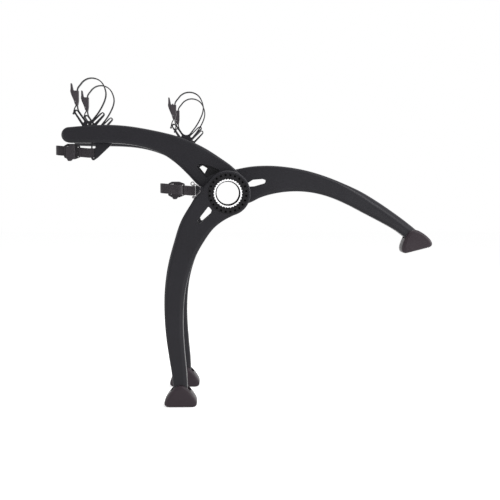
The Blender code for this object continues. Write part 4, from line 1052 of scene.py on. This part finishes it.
def make_floor():
    """A matt floor that glows for the rays that show it, which makes it white there."""
    mesh = bpy.data.meshes.new("studio_floor")
    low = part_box("lower_foot_near")[0].z - FLOOR_BELOW
    corners = [(x * FLOOR_REACH, y * FLOOR_REACH, low) for x, y in ((-1, -1), (1, -1), (1, 1), (-1, 1))]
    mesh.from_pydata(corners, [], [(0, 1, 2, 3)])
    floor = bpy.data.objects.new("studio_floor", mesh)
    bpy.context.scene.collection.objects.link(floor)
    made = bpy.data.materials.new("pale_floor")
    made.use_nodes = True
    tree = made.node_tree
    tree.nodes.clear()
    out = node(tree, "ShaderNodeOutputMaterial")
    matt = node(tree, "ShaderNodeBsdfDiffuse", {"Color": (0.80, 0.80, 0.80, 1.0)})
    glow = node(tree, "ShaderNodeEmission", {"Color": WHITE, "Strength": FLOOR_GLOW})
    both = node(tree, "ShaderNodeAddShader")
    link(tree, matt, "BSDF", both, 0)
    link(tree, glow, "Emission", both, 1)
    choice = node(tree, "ShaderNodeMixShader")
    link(tree, seen_or_mirrored(tree), "Value", choice, "Fac")
    link(tree, matt, "BSDF", choice, 1)
    link(tree, both, "Shader", choice, 2)
    link(tree, choice, "Shader", out, "Surface")
    mesh.materials.append(made)


def make_world():
    """Even white light, and plain white behind the object."""
    world = bpy.data.worlds.new("studio")
    bpy.context.scene.world = world
    world.use_nodes = True
    tree = world.node_tree
    tree.nodes.clear()
    out = node(tree, "ShaderNodeOutputWorld")
    soft = node(tree, "ShaderNodeBackground", {"Color": WHITE, "Strength": WORLD_LIGHT})
    white = node(tree, "ShaderNodeBackground", {"Color": WHITE, "Strength": 1.0})
    choice = node(tree, "ShaderNodeMixShader")
    link(tree, seen_or_mirrored(tree), "Value", choice, "Fac")
    link(tree, soft, "Background", choice, 1)
    link(tree, white, "Background", choice, 2)
    link(tree, choice, "Shader", out, "Surface")


def make_lamp(name, place, target, size, power):
    """A round softbox that faces the target."""
    data = bpy.data.lights.new(name, "AREA")
    data.shape = "DISK"
    data.size = size
    data.energy = power
    lamp = bpy.data.objects.new(name, data)
    bpy.context.scene.collection.objects.link(lamp)
    lamp.location = place
    lamp.rotation_euler = (Vector(target) - Vector(place)).to_track_quat("-Z", "Y").to_euler()


def make_camera():
    data = bpy.data.cameras.new("photo_camera")
    data.sensor_width = 36.0
    data.angle = CAMERA_FIELD
    data.clip_end = 60.0
    camera = bpy.data.objects.new("photo_camera", data)
    bpy.context.scene.collection.objects.link(camera)
    forward = Vector((
        math.sin(CAMERA_YAW) * math.cos(CAMERA_PITCH), math.cos(CAMERA_YAW) * math.cos(CAMERA_PITCH),
        -math.sin(CAMERA_PITCH),
    ))
    right = Vector((math.cos(CAMERA_YAW), -math.sin(CAMERA_YAW), 0.0))
    up = right.cross(forward)
    turn = Matrix((right, up, -forward)).transposed().to_4x4()
    camera.matrix_world = Matrix.Translation(CAMERA_PLACE) @ turn
    bpy.context.scene.camera = camera


make_floor()
make_world()

# Where each lamp is and what it faces, its diameter in metres and its watts
make_lamp("overhead_softbox", (0.3, 0.2, 2.6), (0.0, 0.0, 0.0), 2.2, 34.0)
make_lamp("right_softbox", (2.9, -0.3, 0.7), (0.0, 0.0, -0.15), 0.7, 60.0)
make_lamp("left_softbox", (-2.7, -1.0, 0.1), (0.0, 0.0, -0.4), 1.0, 22.0)
make_lamp("low_fill", (0.8, -2.6, -0.65), (0.0, 0.0, -0.45), 1.2, 14.0)
make_lamp("upper_right_key", (1.8, -2.1, 2.0), (0.2, 0.0, 0.0), 0.5, 36.0)
make_camera()
bpy.context.scene.view_settings.view_transform = "Standard"
